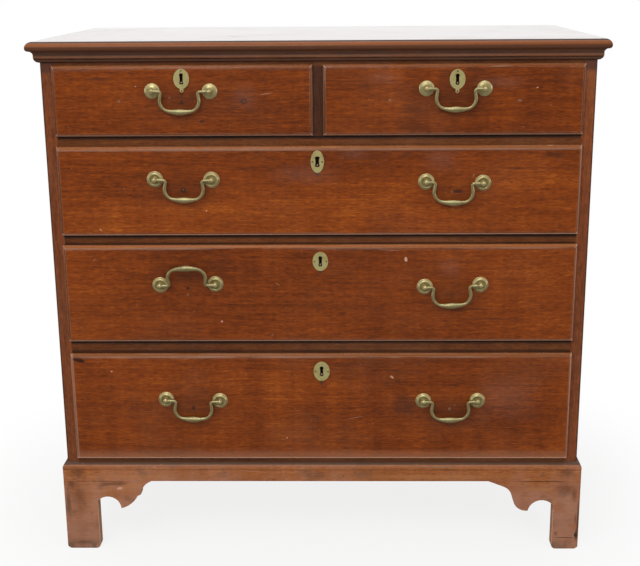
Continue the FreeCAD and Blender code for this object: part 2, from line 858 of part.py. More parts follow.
def make_nut(x, z):
    half = nut_size / 2
    block = box(x - half, x + half, front_back_face, front_back_face + nut_thickness, z - half, z + half)
    return block.cut(cylinder_y(x, front_back_face, front_back_face + nut_thickness, z, shank_radius))


def make_pull_hardware(name):
    """Rosettes, ball-headed bolts and square nuts of a drawer's pulls."""
    domed = is_domed(name)
    solids = []
    for x, z, tilt in post_places(name):
        solids += [make_rosette(x, z, domed), make_post(x, z, tilt, domed), make_nut(x, z)]
    return solids


# ---------------------------------------------------------------- bails


def bail_path():
    """Right half of the bail's centre line: bottom arc, corner, neck and turn to the post.

    The eight points are (distance from the middle, drop below the pivot): the start, then the
    middle and end of the bottom arc and of the corner, the neck's end, and the turn's two.
    """
    slope = math.radians(bail_bottom_slope)
    lean = math.radians(bail_neck_slope)
    corner = bail_corner_radius
    bottom_radius = (bail_half_width - corner * (1 - math.sin(slope))) / math.sin(slope)

    def bottom(angle):
        return (bottom_radius * math.sin(angle), bail_drop - bottom_radius * (1 - math.cos(angle)))

    centre = (bail_half_width - corner, bottom(slope)[1] - corner * math.cos(slope))

    def round_corner(angle):
        return (centre[0] + corner * math.sin(angle), centre[1] + corner * math.cos(angle))

    neck_angle = math.pi / 2 + lean
    neck_start = round_corner(neck_angle)
    turn = bail_turn_radius
    neck_rise = neck_start[1] - turn * (1 + math.sin(lean))
    neck_end = (neck_start[0] - neck_rise * math.tan(lean), neck_start[1] - neck_rise)
    turn_centre = (neck_end[0] + turn * math.cos(lean), turn)

    def round_turn(angle):
        return (turn_centre[0] - turn * math.cos(angle), turn_centre[1] - turn * math.sin(angle))

    return [bottom(0), bottom(slope / 2), bottom(slope),
            round_corner((slope + neck_angle) / 2), neck_start, neck_end,
            round_turn((math.pi / 2 - lean) / 2), round_turn(math.pi / 2)]


def make_bail(x, z, tilt, slide, angle):
    """Swan-neck bail with a swelled grip and two pins, turned up from hanging by an angle."""
    path = bail_path()
    y = pivot_y
    middle = x + slide

    def at(point, side):
        return vec(middle + side * point[0], y, z - point[1])

    shoulder = boring / 2 - post_ball_radius - bail_shoulder_gap
    pieces = []
    for side in (-1, 1):
        start, bottom_mid, bottom_end, corner_mid, corner_end, neck_end, turn_mid, turn_end = [
            at(point, side) for point in path]
        edges = [
            Part.Arc(start, bottom_mid, bottom_end).toShape(),
            Part.Arc(bottom_end, corner_mid, corner_end).toShape(),
            Part.makeLine(corner_end, neck_end),
            Part.Arc(neck_end, turn_mid, turn_end).toShape(),
            Part.makeLine(turn_end, at((shoulder, 0), side)),
        ]
        spine = Part.Wire(edges)
        ring = Part.Wire([Part.makeCircle(bail_wire_radius, start, vec(1, 0, 0))])
        pieces.append(spine.makePipeShell([ring], True, False))
        pin_end = boring / 2 + bail_pin_reach
        ends = sorted([side * (shoulder - bail_wire_radius), side * pin_end])
        pieces.append(cylinder_x(middle + ends[0], middle + ends[1], y, z, bail_pin_radius))
    pieces.append(bail_swell(middle, z))
    bail = fuse_all(pieces)
    bail.rotate(vec(x, y, z), vec(-1, 0, 0), angle)
    bail.rotate(vec(x, y, z), vec(0, 1, 0), -tilt)
    return bail


def bail_swell(x, z):
    """Spindle-shaped thickening in the middle of the grip."""
    half = bail_swell_length / 2
    level_z = z - bail_drop
    end_z = level_z + bail_swell_end_radius
    face = closed_face((x - half, pivot_y, level_z), ((x - half, pivot_y, end_z),),
                       ((x, pivot_y, level_z + bail_swell_radius), (x + half, pivot_y, end_z)),
                       ((x + half, pivot_y, level_z),))
    return face.revolve(vec(x, pivot_y, level_z), vec(1, 0, 0), 360)


# ---------------------------------------------------------------- build


def build():
    os.makedirs("parts", exist_ok=True)
    left_side, right_side = make_sides()
    save("side_left", [left_side])
    save("side_right", [right_side])
    save("top_board", [make_top_board()])
    save("top_moulding", mitred_runs(top_moulding_section))
    save("base_moulding", mitred_runs(base_moulding_section))
    save("front_rails", make_rails())
    save("top_divider", [make_divider()])
    save("bottom_board", [make_bottom_board()])
    save("back_boards", make_back_boards())
    save("drawer_runners", make_runners())
    save("dust_boards", dust_panels())
    save("drawer_stops", make_stops())
    save("base_blocks", make_base_blocks())
    save("foot_front_left", [mirrored(front_bracket(left_bracket)), mirrored(side_bracket(left_bracket))])
    save("foot_front_right", [front_bracket(right_bracket), side_bracket(left_bracket)])
    rear_foot = make_rear_foot()
    save("foot_rear_left", [mirrored(solid) for solid in rear_foot])
    save("foot_rear_right", rear_foot)

    for name in drawers:
        box_solids, front_tails = make_drawer_box(name)
        save(name + "_front", [make_front(name, front_tails)])
        save(name + "_box", box_solids)
        save(name + "_bottom", [bottom_panel(name)])
        save(name + "_pull_posts", make_pull_hardware(name))
        save(name + "_escutcheon", make_escutcheon(name))
        save(name + "_lock", [make_lock(name)])
        save(name + "_lock_bolt", [make_bolt(name)])
        for side, (x, drop, rise, slide) in pull_places[name].items():
            bail_name = "bail_" + drawers[name][0] + "_" + side
            angle = bail_up_angle if bail_name == raised_bail else 0
            z = ceiling_over(name) - drop
            save(bail_name, [make_bail(x, z, pull_tilt(rise), slide, angle)])


build()
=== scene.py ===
import bmesh
import bpy
import json
import math
from mathutils import Matrix, Vector


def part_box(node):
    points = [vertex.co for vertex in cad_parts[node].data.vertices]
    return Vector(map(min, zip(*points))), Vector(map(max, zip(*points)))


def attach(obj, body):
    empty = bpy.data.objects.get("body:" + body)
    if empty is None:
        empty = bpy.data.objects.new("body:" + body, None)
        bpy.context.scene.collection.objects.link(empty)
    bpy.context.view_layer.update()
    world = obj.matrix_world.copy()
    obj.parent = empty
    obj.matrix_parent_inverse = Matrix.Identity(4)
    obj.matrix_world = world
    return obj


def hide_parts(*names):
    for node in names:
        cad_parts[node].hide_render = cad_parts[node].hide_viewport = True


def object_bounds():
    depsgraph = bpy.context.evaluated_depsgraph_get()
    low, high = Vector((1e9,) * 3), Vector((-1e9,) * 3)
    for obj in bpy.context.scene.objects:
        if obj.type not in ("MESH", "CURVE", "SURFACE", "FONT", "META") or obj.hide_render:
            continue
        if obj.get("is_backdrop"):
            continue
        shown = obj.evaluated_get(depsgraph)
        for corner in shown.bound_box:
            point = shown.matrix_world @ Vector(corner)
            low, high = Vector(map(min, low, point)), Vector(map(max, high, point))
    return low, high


# Looks of a mahogany chest of drawers, in metres: X to the right, Y from front to back, Z up.

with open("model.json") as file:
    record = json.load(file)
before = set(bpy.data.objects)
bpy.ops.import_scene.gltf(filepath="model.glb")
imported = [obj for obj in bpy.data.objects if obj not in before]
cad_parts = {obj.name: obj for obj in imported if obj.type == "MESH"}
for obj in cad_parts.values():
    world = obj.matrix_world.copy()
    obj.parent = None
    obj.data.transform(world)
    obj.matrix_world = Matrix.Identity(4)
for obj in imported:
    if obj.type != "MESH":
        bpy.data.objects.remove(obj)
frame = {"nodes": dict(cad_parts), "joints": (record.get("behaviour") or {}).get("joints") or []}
cad_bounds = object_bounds()

DRAWERS = ["lower", "middle", "upper", "top_left", "top_right"]
SHORT_DRAWERS = ["top_left", "top_right"]
PULLS = {drawer: [drawer] if drawer in SHORT_DRAWERS else [drawer + "_left", drawer + "_right"]
         for drawer in DRAWERS}
RAISED_PULL = "middle_left"

# ---------------------------------------------------------------- camera and lamps

# Angles in degrees and the lens in millimetres
CAMERA_PLACE = (0.04924, -2.1494, 1.01583)
CAMERA_PITCH = 15.028
CAMERA_TURN = 1.026
CAMERA_ROLL = 0.403
CAMERA_LENS = 64.9
CAMERA_SHIFT = -0.0128

# Lamps: name, place, width, height, power, colour, and whether polished surfaces mirror them
LAMP_TARGET = (0.0, -0.2, 0.5)
LAMPS = [
    ("key lamp", (-1.1, -2.3, 2.7), 2.2, 1.4, 42.0, (1.0, 0.98, 0.95), False),
    ("fill lamp", (2.2, -2.2, 1.6), 1.6, 1.6, 16.0, (1.0, 0.98, 0.96), False),
    ("glint lamp", (-0.5, -2.6, 2.2), 0.9, 0.9, 13.0, (1.0, 0.98, 0.95), True),
]


def link(item):
    bpy.context.scene.collection.objects.link(item)


def make_camera():
    data = bpy.data.cameras.new("camera")
    data.lens = CAMERA_LENS
    data.shift_x = CAMERA_SHIFT
    camera = bpy.data.objects.new("camera", data)
    link(camera)
    turn = Matrix.Rotation(math.radians(CAMERA_TURN), 4, "Z")
    pitch = Matrix.Rotation(-math.radians(CAMERA_PITCH), 4, "X")
    roll = Matrix.Rotation(math.radians(CAMERA_ROLL), 4, "Y")
    upright = Matrix.Rotation(math.radians(90), 4, "X")
    camera.matrix_world = Matrix.Translation(CAMERA_PLACE) @ turn @ pitch @ roll @ upright
    bpy.context.scene.camera = camera


def make_lamp(name, place, width, height, power, colour, mirrored):
    data = bpy.data.lights.new(name, "AREA")
    data.shape = "RECTANGLE"
    data.size = width
    data.size_y = height
    data.energy = power
    data.color = colour
    lamp = bpy.data.objects.new(name, data)
    link(lamp)
    lamp.location = place
    lamp.rotation_euler = (Vector(LAMP_TARGET) - Vector(place)).to_track_quat("-Z", "Y").to_euler()
    lamp.visible_glossy = mirrored


# ---------------------------------------------------------------- node helpers


def cleared(owner):
    """The emptied node tree of a new material or world."""
    owner.use_nodes = True
    owner.node_tree.nodes.clear()
    return owner.node_tree


def put(tree, kind, inputs=None, **settings):
    """A shader node: an input given as a socket is linked, any other is set."""
    node = tree.nodes.new("ShaderNode" + kind)
    for key, value in settings.items():
        setattr(node, key, value)
    for key, value in (inputs or {}).items():
        give(tree, node.inputs[key], value)
    return node


def give(tree, socket, value):
    if isinstance(value, bpy.types.NodeSocket):
        tree.links.new(value, socket)
    else:
        socket.default_value = value


def calc(tree, operation, *values, clamp=False):
    return put(tree, "Math", dict(enumerate(values)), operation=operation, use_clamp=clamp).outputs[0]


def plus(tree, first, second, clamp=False):
    return calc(tree, "ADD", first, second, clamp=clamp)


def minus(tree, first, second, clamp=False):
    return calc(tree, "SUBTRACT", first, second, clamp=clamp)


def times(tree, first, second):
    return calc(tree, "MULTIPLY", first, second)


def vector_calc(tree, operation, *values):
    return put(tree, "VectorMath", dict(enumerate(values)), operation=operation).outputs[0]


def stretched(tree, vector, stretch):
    return vector_calc(tree, "MULTIPLY", vector, stretch)


def length_of(tree, vector):
    return put(tree, "VectorMath", {0: vector}, operation="LENGTH").outputs["Value"]


def coordinates(tree, vector):
    return put(tree, "SeparateXYZ", {0: vector}).outputs


def object_place(tree):
    return put(tree, "TexCoord").outputs["Object"]


def noise(tree, vector, stretch, detail=2.0, roughness=0.5):
    """Noise whose features per metre are given along the three axes."""
    return put(tree, "TexNoise", {"Vector": stretched(tree, vector, stretch), "Scale": 1.0,
                                  "Detail": detail, "Roughness": roughness}).outputs["Fac"]


def cells(tree, vector, stretch):
    """Distance from the nearest of some scattered points, and that point's own random number."""
    points = put(tree, "TexVoronoi", {"Vector": stretched(tree, vector, stretch), "Scale": 1.0},
                 feature="F1").outputs
    number = put(tree, "SeparateColor", {"Color": points["Color"]}).outputs[0]
    return points["Distance"], number


# A Mix node's sockets for each type of value: first input, second input and output
MIX_SOCKETS = {"FLOAT": (2, 3, 0), "RGBA": (6, 7, 2)}


def mix(tree, factor, first, second, data_type="RGBA"):
    into_first, into_second, result = MIX_SOCKETS[data_type]
    node = put(tree, "Mix", {0: factor, into_first: first, into_second: second}, data_type=data_type)
    return node.outputs[result]


def stain(tree, colour, mask, strength, rgb):
    """Lays a colour over another where a mask is, at up to a strength."""
    return mix(tree, times(tree, mask, strength), colour, (*rgb, 1.0))


def spread(tree, value, low, high, to_low=0.0, to_high=1.0):
    """Smooth step of a value from one range to another."""
    return put(tree, "MapRange", {"Value": value, "From Min": low, "From Max": high,
                                  "To Min": to_low, "To Max": to_high},
               interpolation_type="SMOOTHSTEP").outputs["Result"]


def between(tree, value, low, high, edge):
    """1 where a value lies between two limits, with soft edges."""
    return times(tree, spread(tree, value, low - edge, low), spread(tree, value, high + edge, high))


# Patchy effects: features per metre along X, Y and Z, detail, roughness, and the noise at which a patch
# starts and is full
PATCHES = {
    "ribbon zone": ((3.0, 3.0, 3.0), 1.0, 0.5, 0.42, 0.62),
    "haze": ((6.0, 6.0, 9.0), 4.0, 0.6, 0.44, 0.74),
    "painted_band": ((9.0, 9.0, 9.0), 3.0, 0.5, 0.30, 0.62),
    "rubbing": ((45.0, 45.0, 60.0), 4.0, 0.65, 0.30, 0.64),
    # The wax patches break up the painted sheen under the drawers' top lips
    "wax": ((5.5, 5.5, 30.0), 4.0, 0.6, 0.36, 0.60),
    "soil": ((14.0, 14.0, 30.0), 4.0, 0.6, 0.42, 0.70),
    "dust": ((4.0, 4.0, 4.0), 4.0, 0.5, 0.42, 0.70),
    "warm": ((19.0, 19.0, 26.0), 3.0, 0.6, 0.54, 0.68),
    "grey": ((27.0, 27.0, 33.0), 4.0, 0.6, 0.55, 0.72),
    "scuff": ((60.0, 60.0, 25.0), 4.0, 0.6, 0.36, 0.60),
    "blotch": ((200.0, 200.0, 200.0), 3.0, 0.5, 0.60, 0.76),
}


def patches(tree, place, kind, least=0.0):
    stretch, detail, roughness, start, full = PATCHES[kind]
    return spread(tree, noise(tree, place, stretch, detail, roughness), start, full, least)


def ramp(tree, factor, stops):
    node = put(tree, "ValToRGB", {"Fac": factor})
    band = node.color_ramp
    while len(band.elements) < len(stops):
        band.elements.new(1.0)
    for element, (place, colour) in zip(band.elements, stops):
        element.position = place
        element.color = (*colour, 1.0)
    return node.outputs["Color"]


def make_group(name, inputs, outputs):
    """A node group, with its input sockets' defaults and its output sockets' names."""
    tree = bpy.data.node_groups.new(name, "ShaderNodeTree")
    for label, default in inputs.items():
        kind = "NodeSocketFloat" if isinstance(default, float) else "NodeSocketVector"
        socket = tree.interface.new_socket(name=label, in_out="INPUT", socket_type=kind)
        socket.default_value = default
    for label in outputs:
        tree.interface.new_socket(name=label, in_out="OUTPUT", socket_type="NodeSocketFloat")
    entry = tree.nodes.new("NodeGroupInput")
    leave = tree.nodes.new("NodeGroupOutput")
    return tree, entry.outputs, leave.inputs


def use_group(tree, group, inputs):
    node = tree.nodes.new("ShaderNodeGroup")
    node.node_tree = group
    for key, value in inputs.items():
        give(tree, node.inputs[key], value)
    return node.outputs


# ---------------------------------------------------------------- shared effects

NO_PLACE = (0.0, 0.0, 0.0)

# Noises of a plank's figure: features per metre along and across the grain, detail, roughness, share of
# the tone, and the input that scales that share
FIGURE_NOISES = {
    "broad": (2.2, 13.0, 2.0, 0.5, 0.52, "Broad"),
    "cloud": (17.0, 34.0, 3.0, 0.6, 0.14, "Broad"),
    "band": (6.0, 70.0, 3.0, 0.6, 0.14, "Streak"),
    "streak": (26.0, 350.0, 3.0, 0.6, 0.30, "Streak"),
    "thread": (4.0, 250.0, 2.0, 0.55, 0.40, "Streak"),
    "fine": (80.0, 850.0, 2.0, 0.5, 0.75, "Fine"),
    "mottle": (60.0, 110.0, 3.0, 0.6, 0.28, "Fine"),
}
WAVES = (1.4, 5.0, 5.0)
WAVE_HEIGHT = 0.05
RIBBONS = (30.0, 4.0, 4.0)
RIBBON_SHARE = 0.5
PORES_ACROSS = 1100.0
PORES_LEFT_OUT = 0.45


def make_figure_group():
    """Figure of a plank whose grain runs along X: tone, open pores and surface height."""
    tree, given, result = make_group(
        "plank figure", {"Vector": NO_PLACE, "Broad": 1.0, "Streak": 1.0, "Fine": 1.0, "Ribbon": 1.0,
                         "Pore Length": 0.011}, ["Tone", "Pores", "Height"])
    place = given["Vector"]
    wave = put(tree, "TexNoise", {"Vector": stretched(tree, place, WAVES), "Scale": 1.0,
                                  "Detail": 2.0}).outputs["Color"]
    centred = vector_calc(tree, "SUBTRACT", wave, (0.5, 0.5, 0.5))
    moved = vector_calc(tree, "ADD", place, stretched(tree, centred, (0.0, WAVE_HEIGHT, WAVE_HEIGHT)))

    def share(value, amount, strength):
        return times(tree, minus(tree, value, 0.5), times(tree, strength, amount))

    tone = 0.5
    made = {}
    for name, (along, across, detail, roughness, amount, scale) in FIGURE_NOISES.items():
        source = place if name == "mottle" else moved
        made[name] = noise(tree, source, (along, across, across), detail, roughness)
        tone = plus(tree, tone, share(made[name], amount, given[scale]))
    ribbon = noise(tree, place, RIBBONS, 1.0)
    shimmer = times(tree, share(ribbon, RIBBON_SHARE, given["Ribbon"]),
                    patches(tree, place, "ribbon zone"))
    tree.links.new(plus(tree, tone, shimmer, clamp=True), result["Tone"])

    lengthwise = calc(tree, "DIVIDE", 1.0, given["Pore Length"])
    per_metre = put(tree, "CombineXYZ", {"X": lengthwise, "Y": PORES_ACROSS, "Z": PORES_ACROSS})
    distance, number = cells(tree, moved, per_metre.outputs[0])
    dash = times(tree, spread(tree, distance, 0.42, 0.2),
                 calc(tree, "GREATER_THAN", number, PORES_LEFT_OUT))
    tree.links.new(dash, result["Pores"])
    height = minus(tree, times(tree, made["fine"], 0.35), times(tree, dash, 0.5))
    tree.links.new(height, result["Height"])
    return tree


def make_border_group():
    """Distances from a point on a board's face to the sides of a rectangle in X and Z."""
    tree, given, result = make_group(
        "border distance", {"Vector": NO_PLACE, "Low": NO_PLACE, "High": NO_PLACE},
        ["Distance", "From Top", "From Bottom", "From Left", "From Right", "From Mitre"])
    from_low = coordinates(tree, vector_calc(tree, "SUBTRACT", given["Vector"], given["Low"]))
    from_high = coordinates(tree, vector_calc(tree, "SUBTRACT", given["High"], given["Vector"]))
    across = calc(tree, "MINIMUM", from_low["X"], from_high["X"])
    up = calc(tree, "MINIMUM", from_low["Z"], from_high["Z"])
    distances = {
        "Distance": calc(tree, "MINIMUM", across, up),
        "From Top": from_high["Z"], "From Bottom": from_low["Z"],
        "From Left": from_low["X"], "From Right": from_high["X"],
        "From Mitre": calc(tree, "ABSOLUTE", minus(tree, across, up)),
    }
    for label, distance in distances.items():
        tree.links.new(distance, result[label])
    return tree


def make_spot_group():
    """Soft-edged oval spot on a face that stands in X and Z, turned by an angle."""
    tree, given, result = make_group(
        "spot", {"Vector": NO_PLACE, "Centre": NO_PLACE, "Size": (0.01, 1.0, 0.01), "Turn": 0.0,
                 "Softness": 0.5, "Ragged": 0.3}, ["Mask"])
    away = vector_calc(tree, "SUBTRACT", given["Vector"], given["Centre"])
    turned = put(tree, "VectorRotate", {"Vector": away, "Axis": (0.0, 1.0, 0.0),
                                        "Angle": given["Turn"]}, rotation_type="AXIS_ANGLE").outputs[0]
    shares = coordinates(tree, vector_calc(tree, "DIVIDE", turned, given["Size"]))
    flat = put(tree, "CombineXYZ", {"X": shares["X"], "Y": 0.0, "Z": shares["Z"]}).outputs[0]
    edge = minus(tree, noise(tree, flat, (2.2, 1.0, 2.2), 3.0), 0.5)
    radius = plus(tree, length_of(tree, flat), times(tree, edge, given["Ragged"]))
    mask = spread(tree, radius, 1.0, minus(tree, 1.0, given["Softness"]))
    tree.links.new(mask, result["Mask"])
    return tree


FIGURE = make_figure_group()
BORDER = make_border_group()
SPOT = make_spot_group()

# ---------------------------------------------------------------- finishes

GRAIN_TURNS = {"X": (0.0, 0.0, 0.0), "Y": (0.0, 0.0, -math.pi / 2), "Z": (0.0, math.pi / 2, 0.0)}
SEED_STEPS = (0.731, 0.377, 1.193)

# Woods from dark to light: (tone, colour)
MAHOGANY = [(0.0, (0.054, 0.011, 0.0012)), (0.35, (0.140, 0.0258, 0.0012)),
            (0.62, (0.248, 0.0485, 0.0018)), (1.0, (0.47, 0.120, 0.008))]
MAHOGANY_DARK = [(0.0, (0.036, 0.010, 0.003)), (0.35, (0.092, 0.025, 0.006)),
                 (0.62, (0.149, 0.043, 0.009)), (1.0, (0.25, 0.085, 0.019))]
MAHOGANY_BROWN = [(0.0, (0.056, 0.014, 0.004)), (0.35, (0.140, 0.036, 0.010)),
                  (0.62, (0.226, 0.061, 0.017)), (1.0, (0.38, 0.120, 0.036))]
MAHOGANY_FADED = [(0.0, (0.105, 0.027, 0.008)), (0.35, (0.255, 0.076, 0.020)),
                  (0.62, (0.38, 0.122, 0.034)), (1.0, (0.54, 0.21, 0.070))]
OAK = [(0.0, (0.20, 0.100, 0.040)), (0.4, (0.35, 0.195, 0.085)), (0.7, (0.46, 0.275, 0.130)),
       (1.0, (0.57, 0.37, 0.19))]
PINE = [(0.0, (0.22, 0.100, 0.035)), (0.45, (0.42, 0.225, 0.085)), (0.75, (0.52, 0.305, 0.125)),
        (1.0, (0.62, 0.40, 0.19))]

# Colours of pores, wax, wear and dirt, and of painted shade and painted highlight
PORE = (0.020, 0.006, 0.003)
PLAIN_PORE = (0.10, 0.055, 0.025)
WAX_HAZE = (0.21, 0.095, 0.045)
EDGE_WAX = (0.17, 0.070, 0.036)
# Painted sheen just under the top lips
CROWN_SHEEN = (0.40, 0.245, 0.170)
# Painted light on the top lips, as if lit from above
TOP_LIP_LIGHT = (0.345, 0.103, 0.018)
# Pale of wear, also laid as painted highlight on the lips' arrises
PALE_WEAR_AND_HIGHLIGHT = (0.40, 0.20, 0.12)
SCRUBBED_WOOD = (0.36, 0.160, 0.085)
SCRUBBED_SIDE = (0.34, 0.190, 0.125)
# Scrubbed bottom arris of the lowest drawer, lightened further as painted light
SCRUBBED_AND_LIT_ARRIS = (0.80, 0.44, 0.290)
MITRE_HIGHLIGHT = (0.60, 0.38, 0.27)
SOIL = (0.16, 0.095, 0.070)
# Black of painted shade: shadow lines under the lips, in the cornice, under the top's arris and along
# the case's front corners
PAINTED_SHADE_BLACK = (0.014, 0.007, 0.005)
# Warm painted shade in the gaps over the lower drawers' lips
WARM_PAINTED_SHADE = (0.034, 0.012, 0.005)
# Painted shade and painted highlight of the cornice
CORNICE_PAINTED_SHADE = (0.080, 0.052, 0.043)
CORNICE_SHADE = (0.055, 0.032, 0.028)
CORNICE_PAINTED_HIGHLIGHT = (0.25, 0.125, 0.080)
SIDE_SHADE = (0.055, 0.026, 0.022)
# Painted shade of the recessed divider
DIVIDER_PAINTED_SHADE = (0.026, 0.013, 0.011)
DUST = (0.43, 0.222, 0.150)
PLAIN_DUST = (0.17, 0.110, 0.070)
BASE_WARM = (0.33, 0.105, 0.028)
BASE_GREY = (0.115, 0.075, 0.055)
SCUFF = (0.095, 0.062, 0.040)
LEDGE_DIRT_AND_SHADE = (0.050, 0.028, 0.018)
BEAD_DUST_AND_SHEEN = (0.25, 0.155, 0.120)
QUIRK_PAINTED_SHADE = (0.06, 0.03, 0.018)
TOP_NOSE = (0.185, 0.052, 0.010)
TOP_UNDERSIDE_SHADE = (0.070, 0.028, 0.015)

# Strengths, roughnesses, and depths of the relief
PORE_STRENGTH = 0.50
OAK_PORES = 0.5
PINE_PORES = 0.15
HAZE_DULLNESS = 0.10
WOOD_ROUGHNESS = 0.38
PLAIN_ROUGHNESS = 0.68
BASE_ROUGHNESS = 0.46
TOP_ROUGHNESS = 0.20
BUMP_STRENGTH = 0.3
GRAIN_DEPTH = 0.0003
BASE_GRAIN_DEPTH = 0.0004
PLAIN_GRAIN_DEPTH = 0.0006
TOP_GRAIN_DEPTH = 0.00005

# Features per metre of specks and clouds
SPECKS = (70.0, 70.0, 110.0)
BASE_CLOUDS = (13.0, 13.0, 11.0)
BRASS_CLOUDS = (90.0, 90.0, 90.0)
BRASS_SPECKS = (700.0, 700.0, 700.0)
IRON_CLOUDS = (70.0, 70.0, 70.0)

# Marks of use: colour, strength, softness and raggedness of each kind
MARK_KINDS = {
    "plug": ((0.030, 0.014, 0.010), 0.72, 0.55, 0.6),
    "filler": ((0.24, 0.150, 0.095), 0.60, 0.6, 0.5),
    "chip": ((0.62, 0.34, 0.24), 0.85, 0.35, 0.4),
    "scratch": ((0.46, 0.25, 0.16), 0.6, 0.7, 0.5),
    "stain": ((0.040, 0.015, 0.009), 0.5, 0.9, 0.7),
    "bloom": ((0.24, 0.13, 0.105), 0.16, 1.0, 0.8),
    "worn": ((0.42, 0.17, 0.06), 0.55, 0.8, 0.7),
    "gouge": ((0.016, 0.008, 0.006), 0.85, 0.4, 0.6),
    "smear": ((0.055, 0.030, 0.018), 0.75, 0.7, 0.4),
    "darkened": ((0.070, 0.018, 0.006), 0.42, 1.0, 0.5),
    "bare": ((0.60, 0.34, 0.20), 0.75, 0.5, 0.3),
}


def new_material(name):
    material = bpy.data.materials.new(name)
    tree = cleared(material)
    shader = put(tree, "BsdfPrincipled")
    put(tree, "OutputMaterial", {"Surface": shader.outputs[0]})
    return material, tree, shader


def new_wood(name, grain, seed):
    """A material, with object coordinates as they are and turned to have the plank's grain along X.

    The seed moves the turned ones, so that each plank has a figure of its own.
    """
    material, tree, shader = new_material(name)
    place = object_place(tree)
    turned = put(tree, "Mapping", {"Vector": place, "Rotation": GRAIN_TURNS[grain],
                                   "Location": [seed * step for step in SEED_STEPS]})
    return material, tree, shader, place, turned.outputs[0]


def finish_surface(tree, shader, colour, roughness, height, depth=GRAIN_DEPTH):
    bump = put(tree, "Bump", {"Height": height, "Strength": BUMP_STRENGTH, "Distance": depth})
    give(tree, shader.inputs["Base Color"], colour)
    give(tree, shader.inputs["Roughness"], roughness)
    give(tree, shader.inputs["Normal"], bump.outputs[0])


def polish(shader, specular=0.26, coat=0.10, coat_roughness=0.25):
    shader.inputs["Specular IOR Level"].default_value = specular
    shader.inputs["Coat Weight"].default_value = coat
    shader.inputs["Coat Roughness"].default_value = coat_roughness


def lay(tree, colour, layers):
    """Stains laid one over another: (mask, strength, colour)."""
    for mask, strength, rgb in layers:
        colour = stain(tree, colour, mask, strength, rgb)
    return colour


def wood_colour(tree, place, plank, stops, ribbon=0.6, broad=1.0, shade=None):
    """Figured mahogany; shade is (low, high, tone added at the low Z, tone added at the high Z)."""
    figure = use_group(tree, FIGURE, {"Vector": plank, "Ribbon": ribbon, "Broad": broad})
    tone = figure["Tone"]
    if shade:
        tone = plus(tree, tone, spread(tree, coordinates(tree, place)["Z"], *shade))
    colour = ramp(tree, tone, stops)
    return stain(tree, colour, figure["Pores"], PORE_STRENGTH, PORE), figure["Height"]


def add_haze(tree, place, colour, amount, roughness=WOOD_ROUGHNESS):
    """Cloudy old wax, which also dulls the surface."""
    haze = patches(tree, place, "haze")
    colour = stain(tree, colour, haze, amount, WAX_HAZE)
    return colour, plus(tree, roughness, times(tree, haze, HAZE_DULLNESS))


def add_marks(tree, place, colour, marks):
    """Marks are (kind, x, z, width, height), and may end with a turn in degrees."""
    for kind, x, z, width, height, *turn in marks:
        rgb, strength, softness, ragged = MARK_KINDS[kind]
        mask = use_group(tree, SPOT, {
            "Vector": place, "Centre": (x, 0.0, z), "Size": (width / 2, 1.0, height / 2),
            "Turn": math.radians(sum(turn)), "Softness": softness, "Ragged": ragged})["Mask"]
        colour = stain(tree, colour, mask, strength, rgb)
    return colour


def add_specks(tree, place, colour, left_out=0.72):
    """Tiny pale nicks scattered over a surface."""
    distance, number = cells(tree, place, SPECKS)
    nick = times(tree, spread(tree, distance, 0.11, 0.06), calc(tree, "GREATER_THAN", number, left_out))
    return stain(tree, colour, nick, 0.40, PALE_WEAR_AND_HIGHLIGHT)


def polished_wood(name, grain, seed, stops, haze, bands, corner=None):
    """French-polished old mahogany; bands of painted shade and painted highlight are (low, high, edge,
    strength, colour) over Z.

    Where a corner's X and Y are given, painted shade darkens the arris there, on both sides of the
    case.
    """
    material, tree, shader, place, plank = new_wood(name, grain, seed)
    colour, bumps = wood_colour(tree, place, plank, stops)
    colour, roughness = add_haze(tree, place, colour, haze)
    parts = coordinates(tree, place)
    # Patches break up the bands of painted shade and painted highlight
    patchy = patches(tree, place, "painted_band", 0.75)
    for low, high, edge, strength, rgb in bands:
        painted_band = times(tree, between(tree, parts["Z"], low, high, edge), patchy)
        colour = stain(tree, colour, painted_band, strength, rgb)
    if corner:
        outside = calc(tree, "ABSOLUTE", parts["X"])
        arris = times(tree, spread(tree, outside, corner[0] - 0.0030, corner[0] - 0.0012),
                      spread(tree, parts["Y"], corner[1] + 0.0020, corner[1] + 0.0008))
        colour = stain(tree, colour, arris, 0.62, PAINTED_SHADE_BLACK)
    polish(shader)
    finish_surface(tree, shader, colour, roughness, bumps)
    return material


# Moulded edge round a drawer front
EDGE_WIDTH = 0.0046
EDGE_GLOSS = 0.20
CROWN_WIDTH = 0.0020
SCRUBBED_REACH = 0.0062
SCRUBBED_HEIGHT = 0.022

# Painted shade on the side and bottom lips: side, strength, what scrubbing takes from it, and colour
LIP_PAINTED_SHADE = [
    ("From Right", 0.40, 0.25, (0.075, 0.034, 0.020)),
    ("From Left", 0.45, 0.45, (0.080, 0.038, 0.022)),
    ("From Bottom", 0.50, 0.50, (0.085, 0.038, 0.021)),
]

# Worn arrises with painted highlight: side, reach, power of the rubbing that gives the strength, and
# colour
WORN_AND_LIT_ARRISES = [
    ("From Bottom", 0.0034, 1, (0.50, 0.26, 0.165)),
    ("From Right", 0.0040, 2, (0.40, 0.20, 0.125)),
    ("From Left", 0.0018, 2, (0.42, 0.24, 0.160)),
]


def rim(tree, distance, reach, inside=0.0010, outside=0.0006):
    """1 within a reach of an edge, fading out there."""
    return spread(tree, distance, reach + outside, reach - inside)


